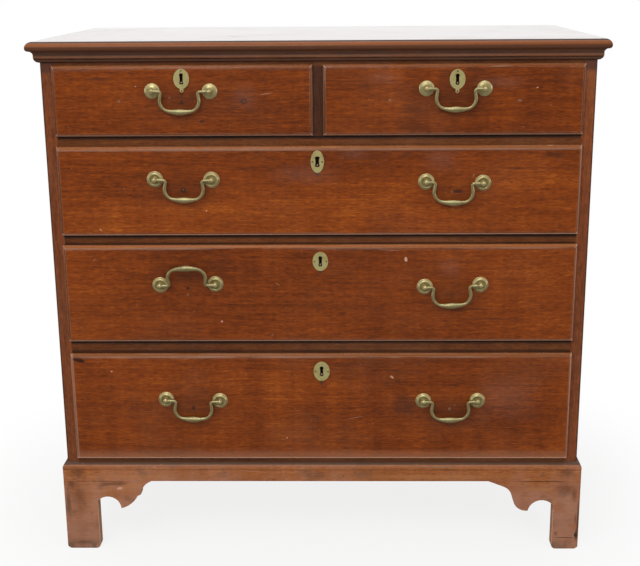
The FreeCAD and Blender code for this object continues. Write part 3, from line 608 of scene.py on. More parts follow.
def drawer_wood(name, seed, low, high, haze, shade, rubbed, lip_light_and_wear, marks):
    """Mahogany of a drawer front: dull wax in its moulded edge, painted light and shade on its lips,
    rubbed arrises with painted highlight, nicks and marks.
    """
    top_share, top_reach, scrubbed = lip_light_and_wear
    material, tree, shader, place, plank = new_wood(name, "X", seed)
    shade = (low.z, high.z, *shade)
    colour, bumps = wood_colour(tree, place, plank, MAHOGANY, ribbon=0.7, shade=shade)
    colour, roughness = add_haze(tree, place, colour, haze)
    edge = use_group(tree, BORDER, {"Vector": place, "Low": tuple(low), "High": tuple(high)})
    away = edge["Distance"]
    moulding = rim(tree, away, EDGE_WIDTH, 0.0004)
    rubbing = patches(tree, place, "rubbing")

    def arris(side, reach):
        return rim(tree, edge[side], reach, 0.0014, 0.0)

    def with_rubbing(low_edge, high_edge, softness):
        return times(tree, between(tree, away, low_edge, high_edge, softness), rubbing)

    # Painted light on the top lip, brighter as if lit from above
    top_lip_light = [top_share * part for part in TOP_LIP_LIGHT]
    colour = lay(tree, colour, [
        (moulding, 0.30, EDGE_WAX),
        (rim(tree, edge["From Top"], top_reach), 0.40 + 0.5 * rubbed, top_lip_light),
        *((rim(tree, edge[side], EDGE_WIDTH), strength - lost * scrubbed, rgb)
          for side, strength, lost, rgb in LIP_PAINTED_SHADE),
        (spread(tree, edge["From Bottom"], SCRUBBED_HEIGHT, 0.006), 0.42 * scrubbed, SCRUBBED_WOOD),
        (rim(tree, edge["From Left"], SCRUBBED_REACH), 0.50 * scrubbed, SCRUBBED_SIDE),
        *((arris(side, reach), rubbed ** power, rgb) for side, reach, power, rgb in WORN_AND_LIT_ARRISES),
        (arris("From Bottom", EDGE_WIDTH), 0.35 * scrubbed, SCRUBBED_AND_LIT_ARRIS)])
    # Painted sheen in a patchy band just under the top lip
    crown_sheen = times(tree, between(tree, edge["From Top"], EDGE_WIDTH, EDGE_WIDTH + CROWN_WIDTH, 0.0012),
                  patches(tree, place, "wax"))
    # Painted highlight along the mitres of the moulded edge
    mitre_highlight = times(tree, spread(tree, edge["From Mitre"], 0.0011, 0.0003), moulding)
    soil = times(tree, between(tree, away, EDGE_WIDTH + 0.001, EDGE_WIDTH + 0.004, 0.004),
                 spread(tree, edge["From Top"], 0.012, 0.006))
    colour = lay(tree, colour, [
        (crown_sheen, 0.7 * rubbed ** 2, CROWN_SHEEN),
        (mitre_highlight, 0.55, MITRE_HIGHLIGHT),
        # Pale lines at the inner and outer arris of the moulding: wear and painted highlight
        (with_rubbing(EDGE_WIDTH - 0.0002, EDGE_WIDTH + 0.0004, 0.0004), 0.40, PALE_WEAR_AND_HIGHLIGHT),
        (with_rubbing(-0.001, 0.0008, 0.0006), 0.45, PALE_WEAR_AND_HIGHLIGHT),
        (times(tree, soil, patches(tree, place, "soil")), 0.22, SOIL)])
    colour = add_specks(tree, place, colour)
    colour = add_marks(tree, place, colour, marks)
    gloss = times(tree, moulding, times(tree, rubbing, EDGE_GLOSS))
    polish(shader)
    finish_surface(tree, shader, colour, minus(tree, roughness, gloss), bumps)
    return material


def plain_wood(name, grain, seed, stops, pore_strength):
    """Unfinished secondary wood, dusty with age."""
    material, tree, shader, place, plank = new_wood(name, grain, seed)
    figure = use_group(tree, FIGURE, {"Vector": plank, "Ribbon": 0.2, "Broad": 1.4, "Streak": 1.5,
                                      "Pore Length": 0.02})
    dust = patches(tree, place, "dust")
    colour = lay(tree, ramp(tree, figure["Tone"], stops), [
        (figure["Pores"], pore_strength, PLAIN_PORE), (dust, 0.35, PLAIN_DUST)])
    roughness = plus(tree, PLAIN_ROUGHNESS, times(tree, dust, 0.15))
    finish_surface(tree, shader, colour, roughness, figure["Height"], PLAIN_GRAIN_DEPTH)
    return material


# Ledge, bead and quirk of the base moulding, measured down from its top
LEDGE_HEIGHT = 0.0045
BEAD_TOP, BEAD_BOTTOM = 0.0060, 0.0085
QUIRK_TOP, QUIRK_BOTTOM = 0.0138, 0.0146


def faded_wood(name, grain, seed, marks, dusty, top_z=None):
    """Mahogany of the base: paler, greyed by dust and floor polish, dark on its upper ledge with dirt
    and painted shade.
    """
    material, tree, shader, place, plank = new_wood(name, grain, seed)
    colour, bumps = wood_colour(tree, place, plank, MAHOGANY_FADED, ribbon=0.5, broad=1.5)
    height = coordinates(tree, place)["Z"]
    cloud = minus(tree, noise(tree, place, BASE_CLOUDS, 4.0, 0.6), 0.5)
    dust = plus(tree, spread(tree, height, *dusty, 0.0, 0.62), times(tree, cloud, 1.8), clamp=True)
    scuffed = times(tree, spread(tree, height, 0.024, 0.004), patches(tree, place, "scuff"))
    layers = [(dust, 0.85, DUST), (patches(tree, place, "warm"), 0.50, BASE_WARM),
              (patches(tree, place, "grey"), 0.42, BASE_GREY), (scuffed, 0.62, SCUFF)]
    if top_z:
        # Ledge darkened by dirt and painted shade, bead paled by dust and painted sheen, quirk darkened
        # as painted shade
        ledge = spread(tree, height, top_z - LEDGE_HEIGHT - 0.0012, top_z - LEDGE_HEIGHT)
        bead = between(tree, height, top_z - BEAD_BOTTOM, top_z - BEAD_TOP, 0.0015)
        quirk = between(tree, height, top_z - QUIRK_BOTTOM, top_z - QUIRK_TOP, 0.0008)
        layers += [(ledge, 0.88, LEDGE_DIRT_AND_SHADE), (bead, 0.30, BEAD_DUST_AND_SHEEN), (quirk, 0.35, QUIRK_PAINTED_SHADE)]
    colour = lay(tree, colour, layers)
    colour = add_specks(tree, place, colour, 0.8)
    colour = add_marks(tree, place, colour, marks)
    polish(shader, coat=0.04, coat_roughness=0.35)
    finish_surface(tree, shader, colour, BASE_ROUGHNESS, bumps, BASE_GRAIN_DEPTH)
    return material


def glossy_top(name, seed):
    """French-polished top, smooth enough to mirror the room at a low angle; its edge is duller."""
    material, tree, shader, place, plank = new_wood(name, "X", seed)
    colour, bumps = wood_colour(tree, place, plank, MAHOGANY_FADED, ribbon=0.9, broad=1.3)
    colour, roughness = add_haze(tree, place, colour, 0.12, TOP_ROUGHNESS)
    height = coordinates(tree, place)["Z"]
    low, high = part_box("top_board")
    edge = spread(tree, height, high.z - 0.0008, high.z - 0.0030)
    # Painted shade under the nose, and a black line of painted shade under the front arris
    under = spread(tree, height, low.z + 0.0092, low.z + 0.0060)
    arris = between(tree, height, high.z - 0.0019, high.z - 0.0003, 0.0003)
    colour = lay(tree, colour, [
        (edge, 0.76, TOP_NOSE), (under, 0.82, TOP_UNDERSIDE_SHADE), (arris, 0.88, PAINTED_SHADE_BLACK)])
    dull = calc(tree, "MAXIMUM", edge, arris)
    polish(shader, specular=0.25, coat=1.0, coat_roughness=0.07)
    give(tree, shader.inputs["Coat Weight"], minus(tree, 1.0, times(tree, dull, 0.9)))
    roughness = plus(tree, roughness, times(tree, dull, 0.18))
    finish_surface(tree, shader, colour, roughness, bumps, TOP_GRAIN_DEPTH)
    return material


# Brasses: how metallic, pale colour, and dull colour
BRASSES = {
    "rosette": (0.66, (0.57, 0.49, 0.23), (0.44, 0.355, 0.155)),
    "handle": (0.66, (0.42, 0.365, 0.175), (0.335, 0.285, 0.130)),
    "escutcheon": (0.50, (0.60, 0.53, 0.225), (0.48, 0.39, 0.150)),
    "escutcheon pin": (0.3, (0.20, 0.150, 0.060), (0.10, 0.070, 0.030)),
}
BRASS_BLOTCH = (0.24, 0.145, 0.055)
BRASS_HOLLOW_TARNISH_AND_SHADE = (0.10, 0.065, 0.025)
BRASS_ROUGHNESS = 0.34
BRASS_DEPTH = 0.000015
HOLLOW_WIDTH = 0.003
BARE_IRON = (0.16, 0.15, 0.14)
RUST = (0.13, 0.05, 0.02)
BRIGHT_IRON = (0.34, 0.31, 0.25)
IRON_DEPTH = 0.0004


def aged_brass(kind, seed, prefix=""):
    """Old lacquered brass: pale where hands reach it, olive and brown in the hollows, where tarnish and
    painted shade darken it.
    """
    metal, pale, dull = BRASSES[kind]
    material, tree, shader = new_material(prefix + kind + " brass")
    moved = vector_calc(tree, "ADD", object_place(tree), (seed, seed, seed))
    cloud = noise(tree, moved, BRASS_CLOUDS, 3.0, 0.55)
    speck = noise(tree, moved, BRASS_SPECKS)
    tarnish = spread(tree, plus(tree, cloud, times(tree, speck, 0.06)), 0.46, 0.78)
    # The hollows darken with tarnish and painted shade
    open_sky = put(tree, "AmbientOcclusion", {"Distance": HOLLOW_WIDTH}, samples=8).outputs["AO"]
    colour = lay(tree, mix(tree, tarnish, (*pale, 1.0), (*dull, 1.0)), [
        (patches(tree, moved, "blotch"), 0.20, BRASS_BLOTCH),
        (spread(tree, open_sky, 0.70, 0.20), 0.70, BRASS_HOLLOW_TARNISH_AND_SHADE)])
    shader.inputs["Metallic"].default_value = metal
    shader.inputs["Specular IOR Level"].default_value = 0.5
    roughness = plus(tree, BRASS_ROUGHNESS, times(tree, tarnish, 0.08))
    height = plus(tree, cloud, times(tree, speck, 0.15))
    finish_surface(tree, shader, colour, roughness, height, BRASS_DEPTH)
    return material


def old_iron(name, bright_before):
    """Forged iron, brown with old rust; rubbed bright on the pin in front of a plane in Y."""
    material, tree, shader = new_material(name)
    place = object_place(tree)
    cloud = noise(tree, place, IRON_CLOUDS, 5.0, 0.65)
    rust = spread(tree, cloud, 0.46, 0.66)
    colour = mix(tree, rust, (*BARE_IRON, 1.0), (*RUST, 1.0))
    rubbed = spread(tree, coordinates(tree, place)["Y"], bright_before + 0.0005, bright_before)
    colour = stain(tree, colour, rubbed, 0.95, BRIGHT_IRON)
    metal = minus(tree, 0.9, times(tree, rust, 0.8))
    metal = minus(tree, metal, times(tree, rubbed, 0.5), clamp=True)
    give(tree, shader.inputs["Metallic"], metal)
    finish_surface(tree, shader, colour, plus(tree, 0.42, times(tree, rust, 0.35)), cloud, IRON_DEPTH)
    return material


# ---------------------------------------------------------------- shaping helpers

SHARP = math.radians(35)
NEARLY_FLAT = math.radians(0.5)
SAME_PLACE = 0.000002


def copy_of(node):
    """Copy of a CAD node's mesh, its loose triangles merged into clean faces."""
    bm = bmesh.new()
    bm.from_mesh(frame["nodes"][node].data)
    bmesh.ops.remove_doubles(bm, verts=bm.verts, dist=SAME_PLACE)
    bmesh.ops.dissolve_limit(bm, angle_limit=NEARLY_FLAT, verts=bm.verts, edges=bm.edges)
    return bm


def is_outer_arris(edge):
    return edge.is_manifold and edge.is_convex and edge.calc_face_angle() > SHARP


def bevel(bm, edges, width, segments=2):
    bmesh.ops.bevel(bm, geom=edges, offset=width, offset_type="OFFSET", affect="EDGES",
                    segments=segments, profile=0.5, material=-1, clamp_overlap=True)


def soften(bm, width, segments=2, least_length=0.0):
    """Rounds off the outer edges that a plane and years of use would."""
    edges = [edge for edge in bm.edges if is_outer_arris(edge) and edge.calc_length() > least_length]
    bevel(bm, edges, width, segments)


def keep_inside(bm, node):
    """Brings back what a rounded corner pushed out of its CAD node's box."""
    low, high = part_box(node)
    for vert in bm.verts:
        vert.co = [min(max(vert.co[i], low[i]), high[i]) for i in range(3)]


def add_piece(name, bm, body, materials, node, smooth_angle=32.0):
    """Makes an object from a finished mesh, gives it its materials, ties it to its body and hides its
    CAD node.
    """
    mesh = bpy.data.meshes.new(name)
    bm.to_mesh(mesh)
    bm.free()
    mesh.shade_smooth()
    mesh.set_sharp_from_angle(angle=math.radians(smooth_angle))
    for material in materials:
        mesh.materials.append(material)
    piece = bpy.data.objects.new(name, mesh)
    link(piece)
    shading = piece.modifiers.new("even shading", "WEIGHTED_NORMAL")
    shading.weight = 100
    shading.keep_sharp = True
    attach(piece, body)
    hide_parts(node)


def shell_of(face):
    """All faces that hang together with one face."""
    found = {face}
    front = [face]
    while front:
        nearby = [other for edge in front.pop().edges for other in edge.link_faces]
        for other in nearby:
            if other not in found:
                found.add(other)
                front.append(other)
    return found


def shells(bm):
    left = set(bm.faces)
    while left:
        shell = shell_of(next(iter(left)))
        left -= shell
        yield shell


def width_of(shell, axis):
    places = [vert.co[axis] for face in shell for vert in face.verts]
    return max(places) - min(places)


# ---------------------------------------------------------------- case

MOULDING_ARRIS = 0.0003
FOOT_ARRIS = 0.0008
SIDE_ARRIS = 0.0006
RAIL_ARRIS = 0.0005
BACK_ARRIS = 0.0014
LONG_EDGE = 0.1
DIVIDER_EDGE = 0.05

# Marks of use: kind, middle in X and Z, width, height, and a turn in degrees where there is one
FOOT_MARKS = [
    # The two bare marks on the legs' inner end faces are partly painted light on faces that lie in
    # shade
    ("bare", 0.4175, 0.045, 0.0030, 0.110), ("bare", -0.4055, 0.045, 0.0026, 0.110),
    ("filler", -0.402, 0.134, 0.090, 0.004), ("gouge", -0.400, 0.133, 0.115, 0.0016),
    ("gouge", 0.395, 0.1325, 0.100, 0.0016), ("worn", -0.345, 0.122, 0.060, 0.022, 8.0),
    ("chip", -0.3645, 0.119, 0.012, 0.006, 12.0), ("worn", 0.398, 0.118, 0.070, 0.012),
    ("worn", 0.4192, 0.090, 0.007, 0.012, 25.0), ("chip", 0.4183, 0.075, 0.003, 0.003),
    ("gouge", 0.441, 0.0222, 0.046, 0.0016, -1.5), ("gouge", 0.461, 0.027, 0.007, 0.011, 20.0),
    ("stain", 0.455, 0.105, 0.014, 0.036), ("stain", 0.459, 0.060, 0.006, 0.030),
    ("stain", -0.452, 0.128, 0.020, 0.030), ("stain", 0.425, 0.030, 0.010, 0.012),
    ("stain", -0.430, 0.088, 0.006, 0.006), ("stain", -0.418, 0.070, 0.005, 0.004),
    ("stain", -0.459, 0.090, 0.014, 0.090), ("darkened", -0.440, 0.100, 0.050, 0.090),
    ("stain", -0.372, 0.128, 0.070, 0.012, 4.0), ("smear", 0.4635, 0.060, 0.005, 0.100),
    ("smear", 0.4620, 0.028, 0.008, 0.034), ("darkened", 0.440, 0.118, 0.060, 0.026),
    ("worn", 0.4215, 0.094, 0.012, 0.014, 20.0), ("stain", -0.435, 0.012, 0.040, 0.012),
]
PLINTH_MARKS = [
    ("worn", 0.200, 0.1415, 0.420, 0.013), ("worn", -0.330, 0.142, 0.180, 0.010),
    ("stain", -0.440, 0.150, 0.050, 0.030), ("stain", 0.440, 0.150, 0.045, 0.028),
    ("scratch", -0.068, 0.150, 0.0018, 0.016), ("scratch", -0.120, 0.152, 0.070, 0.0015, -5.0),
    ("chip", -0.300, 0.161, 0.002, 0.003), ("stain", 0.060, 0.150, 0.010, 0.003, -20.0),
    ("gouge", 0.040, 0.143, 0.006, 0.002), ("filler", 0.210, 0.160, 0.090, 0.003),
]


def boards_piece(node, name, width, along, across):
    """Softened copy of a node whose boards run both ways, each with its own grain."""
    bm = copy_of(node)
    for shell in shells(bm):
        runs_back = width_of(shell, 1) > width_of(shell, 0)
        for face in shell:
            face.material_index = int(runs_back)
    soften(bm, width)
    keep_inside(bm, node)
    add_piece(name, bm, "case", [along, across], node)


def softened_piece(node, name, width, material, segments=2, least_length=LONG_EDGE):
    """Copy of a node of the case with its long outer edges softened."""
    bm = copy_of(node)
    soften(bm, width, segments, least_length)
    add_piece(name, bm, "case", [material], node)


def rail_bands():
    """Painted shadow on the rails under and over the drawers' lips, where the lips shade them."""
    bands = []
    for drawer in ("middle", "upper", "top_left"):
        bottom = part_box("drawer_" + drawer + "_front")[0].z
        bands.append((bottom - 0.0052, bottom + 0.004, 0.0030, 0.55, PAINTED_SHADE_BLACK))
        bands.append((bottom - 0.0036, bottom + 0.004, 0.0010, 0.92, PAINTED_SHADE_BLACK))
    for drawer, rise in (("lower", 0.0046), ("middle", 0.0028)):
        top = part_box("drawer_" + drawer + "_front")[1].z
        bands.append((top - 0.004, top + rise, 0.0016, 0.80, WARM_PAINTED_SHADE))
    return bands


def cornice_bands():
    """Painted highlight on a fillet and painted shade lines in the hollows of the moulding under the
    top.
    """
    low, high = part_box("top_moulding")
    return [(low.z - 0.001, low.z + 0.0010, 0.0010, 0.85, PAINTED_SHADE_BLACK),
            (low.z + 0.0026, low.z + 0.0036, 0.0012, 0.75, CORNICE_PAINTED_SHADE),
            (low.z + 0.0052, low.z + 0.0066, 0.0008, 0.90, PAINTED_SHADE_BLACK),
            (low.z + 0.0088, low.z + 0.0112, 0.0016, 0.40, CORNICE_PAINTED_HIGHLIGHT),
            (high.z - 0.0066, high.z - 0.0052, 0.0010, 0.50, PAINTED_SHADE_BLACK),
            (high.z - 0.0070, high.z + 0.001, 0.0030, 0.50, CORNICE_SHADE)]


def make_top():
    """The top board, and the moulding under it."""
    add_piece("table_top", copy_of("top_board"), "case", [glossy_top("top mahogany", 3.0)],
              "top_board")
    bands = cornice_bands()
    boards_piece("top_moulding", "cornice", MOULDING_ARRIS,
                 polished_wood("cornice mahogany", "X", 7.0, MAHOGANY_DARK, 0.3, bands),
                 polished_wood("cornice return mahogany", "Y", 9.0, MAHOGANY_DARK, 0.3, bands))


def make_base():
    """The base moulding, and the bracket feet under it, dustier towards the floor."""
    low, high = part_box("base_moulding")
    full = low.z - 0.05
    boards_piece("base_moulding", "plinth", MOULDING_ARRIS,
                 faded_wood("plinth mahogany", "X", 12.0, PLINTH_MARKS, (high.z, full), high.z),
                 faded_wood("plinth return mahogany", "Y", 13.0, (), (high.z, full), high.z))
    dusty = (low.z + 0.03, full)
    woods = {}
    kinds = [("front", "foot", 15.0, FOOT_MARKS), ("rear", "rear foot", 17.0, ())]
    for place, label, seed, marks in kinds:
        woods[place] = (faded_wood(label + " mahogany", "X", seed, marks, dusty),
                        faded_wood(label + " side mahogany", "Y", seed + 1.0, (), dusty))
    for side in ("left", "right"):
        for place in ("front", "rear"):
            node = "foot_" + place + "_" + side
            boards_piece(node, "bracket_" + node, FOOT_ARRIS, *woods[place])


def make_sides():
    low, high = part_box("side_left")
    shadow = [(high.z - 0.031, high.z + 0.01, 0.010, 0.75, SIDE_SHADE)]
    wood = polished_wood("side mahogany", "Z", 20.0, MAHOGANY_BROWN, 0.16, shadow, (-low.x, low.y))
    for place in ("left", "right"):
        softened_piece("side_" + place, "case_side_" + place, SIDE_ARRIS, wood)


def make_rails():
    """The front rails, and the divider between the short drawers."""
    wood = polished_wood("rail mahogany", "X", 23.0, MAHOGANY_DARK, 0.2, rail_bands())
    softened_piece("front_rails", "case_rails", RAIL_ARRIS, wood)
    low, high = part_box("top_divider")
    # Painted shade darkens the divider, which stands back between the short drawers
    painted_band = [(low.z, high.z, 0.01, 0.62, DIVIDER_PAINTED_SHADE)]
    wood = polished_wood("divider mahogany", "Z", 25.0, MAHOGANY_DARK, 0.2, painted_band)
    softened_piece("top_divider", "case_divider", RAIL_ARRIS, wood, least_length=DIVIDER_EDGE)


def make_back():
    wood = plain_wood("back board pine", "X", 46.0, PINE, PINE_PORES)
    softened_piece("back_boards", "case_back_boards", BACK_ARRIS, wood, 1)


# ---------------------------------------------------------------- drawers

# Haze, tone added at the bottom and at the top as painted shade and light, rubbing of the bottom edge,
# which also scales the painted light on the lips, and marks of each front
FRONT_LOOKS = {
    "top_left": (0.05, (-0.17, 0.0), 0.35, [
        ("plug", -0.225, 0.811, 0.009, 0.008), ("plug", -0.2245, 0.8255, 0.007, 0.005),
        ("stain", -0.224, 0.819, 0.004, 0.010), ("filler", -0.245, 0.819, 0.004, 0.004),
        ("plug", -0.1226, 0.8136, 0.013, 0.012), ("filler", -0.1222, 0.8130, 0.003, 0.003),
        ("filler", -0.3285, 0.8138, 0.007, 0.006, 20.0), ("plug", -0.1923, 0.780, 0.010, 0.007),
        ("chip", -0.300, 0.838, 0.003, 0.002, 30.0), ("scratch", -0.085, 0.825, 0.030, 0.002, 8.0),
        ("bloom", -0.120, 0.820, 0.060, 0.060), ("stain", -0.360, 0.850, 0.060, 0.010)]),
    "top_right": (0.08, (-0.08, -0.07), 0.35, [
        ("stain", 0.2297, 0.8094, 0.006, 0.005), ("filler", 0.1188, 0.8132, 0.008, 0.006),
        ("filler", 0.3321, 0.8121, 0.010, 0.006), ("chip", 0.360, 0.833, 0.004, 0.002, 30.0),
        ("bloom", 0.110, 0.850, 0.080, 0.030), ("bloom", 0.300, 0.842, 0.120, 0.030),
        ("filler", 0.300, 0.868, 0.045, 0.004, 2.0), ("stain", 0.262, 0.862, 0.060, 0.008)]),
    "upper": (0.05, (0.09, -0.06), 0.75, [
        ("smear", -0.0018, 0.6905, 0.012, 0.006), ("bloom", 0.205, 0.714, 0.080, 0.060),
        ("bloom", -0.020, 0.690, 0.160, 0.050), ("bloom", 0.060, 0.725, 0.070, 0.030),
        ("plug", -0.2276, 0.6645, 0.013, 0.012), ("filler", -0.2276, 0.6655, 0.004, 0.003),
        ("plug", 0.2338, 0.661, 0.023, 0.008), ("filler", 0.2238, 0.6602, 0.005, 0.004),
        ("scratch", 0.2594, 0.6883, 0.009, 0.002, 60.0), ("stain", 0.3230, 0.676, 0.008, 0.006),
        ("stain", -0.340, 0.672, 0.016, 0.005, 15.0), ("filler", -0.328, 0.667, 0.004, 0.003),
        ("stain", -0.350, 0.640, 0.012, 0.004), ("chip", -0.3712, 0.5969, 0.006, 0.002, -35.0),
        ("chip", -0.283, 0.694, 0.003, 0.003), ("chip", -0.190, 0.629, 0.003, 0.003),
        ("bare", 0.386, 0.7378, 0.014, 0.0024), ("stain", 0.395, 0.722, 0.050, 0.016),
        ("worn", 0.020, 0.7375, 0.050, 0.006), ("gouge", 0.020, 0.7405, 0.044, 0.004, 1.0),
        ("stain", -0.120, 0.700, 0.050, 0.004), ("stain", 0.330, 0.700, 0.070, 0.006)]),
    "middle": (0.07, (0.05, -0.01), 0.75, [
        ("filler", -0.227, 0.4818, 0.004, 0.006), ("plug", -0.2265, 0.4934, 0.007, 0.008),
        ("stain", 0.2276, 0.479, 0.008, 0.005), ("smear", 0.0015, 0.5215, 0.011, 0.007),
        ("scratch", -0.3853, 0.5444, 0.009, 0.0016, 35.0),
        ("scratch", -0.0715, 0.5005, 0.011, 0.0018, -35.0),
        ("scratch", -0.0822, 0.4096, 0.009, 0.0016, 45.0), ("chip", -0.1697, 0.4339, 0.004, 0.004),
        ("chip", 0.1479, 0.5438, 0.006, 0.010, 10.0), ("bloom", 0.2232, 0.5277, 0.060, 0.050),
        ("stain", 0.260, 0.455, 0.120, 0.006), ("stain", 0.300, 0.437, 0.150, 0.006),
        ("scratch", 0.120, 0.560, 0.050, 0.0014, -3.0), ("worn", -0.330, 0.565, 0.060, 0.003)]),
    "lower": (0.16, (0.02, 0.0), 0.90, [
        ("plug", -0.2252, 0.274, 0.009, 0.011), ("filler", 0.2275, 0.2718, 0.006, 0.008),
        ("filler", 0.2371, 0.2793, 0.004, 0.003), ("smear", 0.0022, 0.3205, 0.010, 0.012),
        ("bare", 0.1257, 0.3313, 0.010, 0.0045, -40.0), ("chip", -0.3668, 0.3423, 0.004, 0.003, 20.0),
        # The bloom on the top-left corner of the lip is partly a painted highlight
        ("gouge", -0.4232, 0.3629, 0.026, 0.009, -12.0), ("bloom", -0.420, 0.371, 0.022, 0.006),
        ("bloom", 0.330, 0.290, 0.160, 0.120), ("scratch", 0.060, 0.255, 0.040, 0.0014, 12.0),
        ("stain", 0.150, 0.280, 0.060, 0.060), ("chip", -0.060, 0.217, 0.003, 0.003)]),
}


# Painted light and wear of each front's lips: share of the top lip's painted light and how far down it
# reaches, and how far the others are scrubbed
LIP_LIGHT_AND_WEAR = {
    "top_left": (0.78, 0.0036, 0.0), "top_right": (0.78, 0.0036, 0.0), "upper": (0.84, EDGE_WIDTH, 0.0),
    "middle": (1.0, EDGE_WIDTH, 0.0), "lower": (0.68, EDGE_WIDTH, 1.0),
}


def darkened(drawer):
    """Darkening round each pull."""
    for pull in PULLS[drawer]:
        low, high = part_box("bail_" + pull)
        yield ("darkened", (low.x + high.x) / 2, (low.z + high.z) / 2, 0.180, 0.085)


def make_fronts():
    for index, drawer in enumerate(DRAWERS):
        node = "drawer_" + drawer + "_front"
        low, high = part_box(node)
        haze, shade, rubbed, marks = FRONT_LOOKS[drawer]
        x, bottom, top = keyhole_room(drawer)
        # Painted shade inside the keyhole, where the wood behind the plate shows
        keyhole_shade = ("gouge", x, (bottom + top) / 2, 0.0085, top - bottom)
        wood = drawer_wood(drawer + " front mahogany", 31.0 + 4.0 * index, low, high, haze, shade,
                           rubbed, LIP_LIGHT_AND_WEAR[drawer], [*darkened(drawer), *marks, keyhole_shade])
        add_piece("front_" + drawer, copy_of(node), "drawer_" + drawer, [wood], node)


# ---------------------------------------------------------------- brass

POST_SPACING = 0.095
PIVOT_HEIGHT = 0.009
TURN_STEPS = 48
WIDER_THAN_A_NUT = 0.02
ROSETTE_SMOOTH = 50.0
BRASS_SMOOTH = 40.0

# Rosette profiles: (radius, height over the drawer's face)
DISHED_ROSETTE = [(0.0025, 0.0), (0.0138, 0.0), (0.0138, 0.0007), (0.01355, 0.00105), (0.0131, 0.00115),
                  (0.01285, 0.0016), (0.0124, 0.0026), (0.0117, 0.0037), (0.0109, 0.0046),
                  (0.0101, 0.0051), (0.0094, 0.0052), (0.0087, 0.0050), (0.0080, 0.0044),
                  (0.0073, 0.0034), (0.0067, 0.0026), (0.0061, 0.0021), (0.0054, 0.0020),
                  (0.0025, 0.0020)]
DOMED_ROSETTE = [(0.0025, 0.0), (0.0128, 0.0), (0.0128, 0.0007), (0.01255, 0.0011), (0.0121, 0.0012),
                 (0.0118, 0.0016), (0.0109, 0.0023), (0.0098, 0.0029), (0.0085, 0.0034),
                 (0.0071, 0.0038), (0.0058, 0.0041), (0.0046, 0.0042), (0.0025, 0.0042)]

BAIL_DROP = 0.0338
BAIL_HALF_WIDTH = 0.0325
BAIL_CORNER = 0.0170
BAIL_SLOPE = math.radians(10.0)
BAIL_LEAN = math.radians(10.0)
BAIL_TURN = 0.0038
RAISED_ANGLE = math.radians(165.0)
PIN_END = 0.0497
RING_POINTS = 24
RIDGE_HEIGHT = 0.12
RIDGE_END = 0.16
RIDGE_SHARPNESS = 4

# Steps along a bail's grip, corner, neck, turn into the post, and pin
GRIP_STEPS = 14
CORNER_STEPS = 14
NECK_STEPS = 6
TURN_IN_STEPS = 8
PIN_STEPS = 8

# Radius of the bail along its right half: (share of the length from the middle, radius)
BAIL_RADII = [(0.0, 0.0049), (0.06, 0.0047), (0.13, 0.0041), (0.21, 0.0032), (0.29, 0.0025),
              (0.36, 0.0024), (0.47, 0.0028), (0.58, 0.0029), (0.70, 0.0026), (0.80, 0.0025),
              (0.86, 0.0027), (0.905, 0.0030), (0.935, 0.0029), (0.955, 0.0022), (0.965, 0.0016),
              (1.0, 0.0016)]


def pull_middle(pull):
    """Middle between a pull's two posts, and the direction from the left post to the right one."""
    joint = next(joint for joint in frame["joints"] if joint["child"] == "pull_" + pull)
    return Vector(joint["pos_m"]), -Vector(joint["axis"])


def post_tops(pull):
    middle, across = pull_middle(pull)
    return [middle + across * (side * POST_SPACING / 2) for side in (-1, 1)]


def spin_profile(bm, profile, centre, face_y):
    """Full turn of a profile about a post's axis, standing forward from the drawer's face."""
    verts = [bm.verts.new((centre.x + radius, face_y - height, centre.z)) for radius, height in profile]
    edges = [bm.edges.new((verts[i], verts[(i + 1) % len(verts)])) for i in range(len(verts))]
    bmesh.ops.spin(bm, geom=verts + edges, cent=(centre.x, face_y, centre.z), axis=(0.0, 1.0, 0.0),
                   dvec=(0.0, 0.0, 0.0), angle=2 * math.pi, steps=TURN_STEPS, use_merge=True,
                   use_duplicate=False)


def make_posts(drawer, brass):
    """Turned rosettes, with the ball-headed bolts and their nuts."""
    node = "drawer_" + drawer + "_pull_posts"
    bolts = copy_of(node)
    for shell in list(shells(bolts)):
        if width_of(shell, 0) > WIDER_THAN_A_NUT:
            bmesh.ops.delete(bolts, geom=list(shell), context="FACES")
    centres = [top for pull in PULLS[drawer] for top in post_tops(pull)]
    face_y = centres[0].y + PIVOT_HEIGHT
    profile = DOMED_ROSETTE if drawer in SHORT_DRAWERS else DISHED_ROSETTE
    rosettes = bmesh.new()
    for centre in centres:
        spin_profile(rosettes, profile, centre, face_y)
    bmesh.ops.remove_doubles(rosettes, verts=rosettes.verts, dist=0.000001)
    bmesh.ops.recalc_face_normals(rosettes, faces=rosettes.faces)
    body = "drawer_" + drawer
    add_piece("rosettes_" + drawer, rosettes, body, [brass], node, ROSETTE_SMOOTH)
    add_piece("pull_bolts_" + drawer, bolts, body, [brass], node, BRASS_SMOOTH)


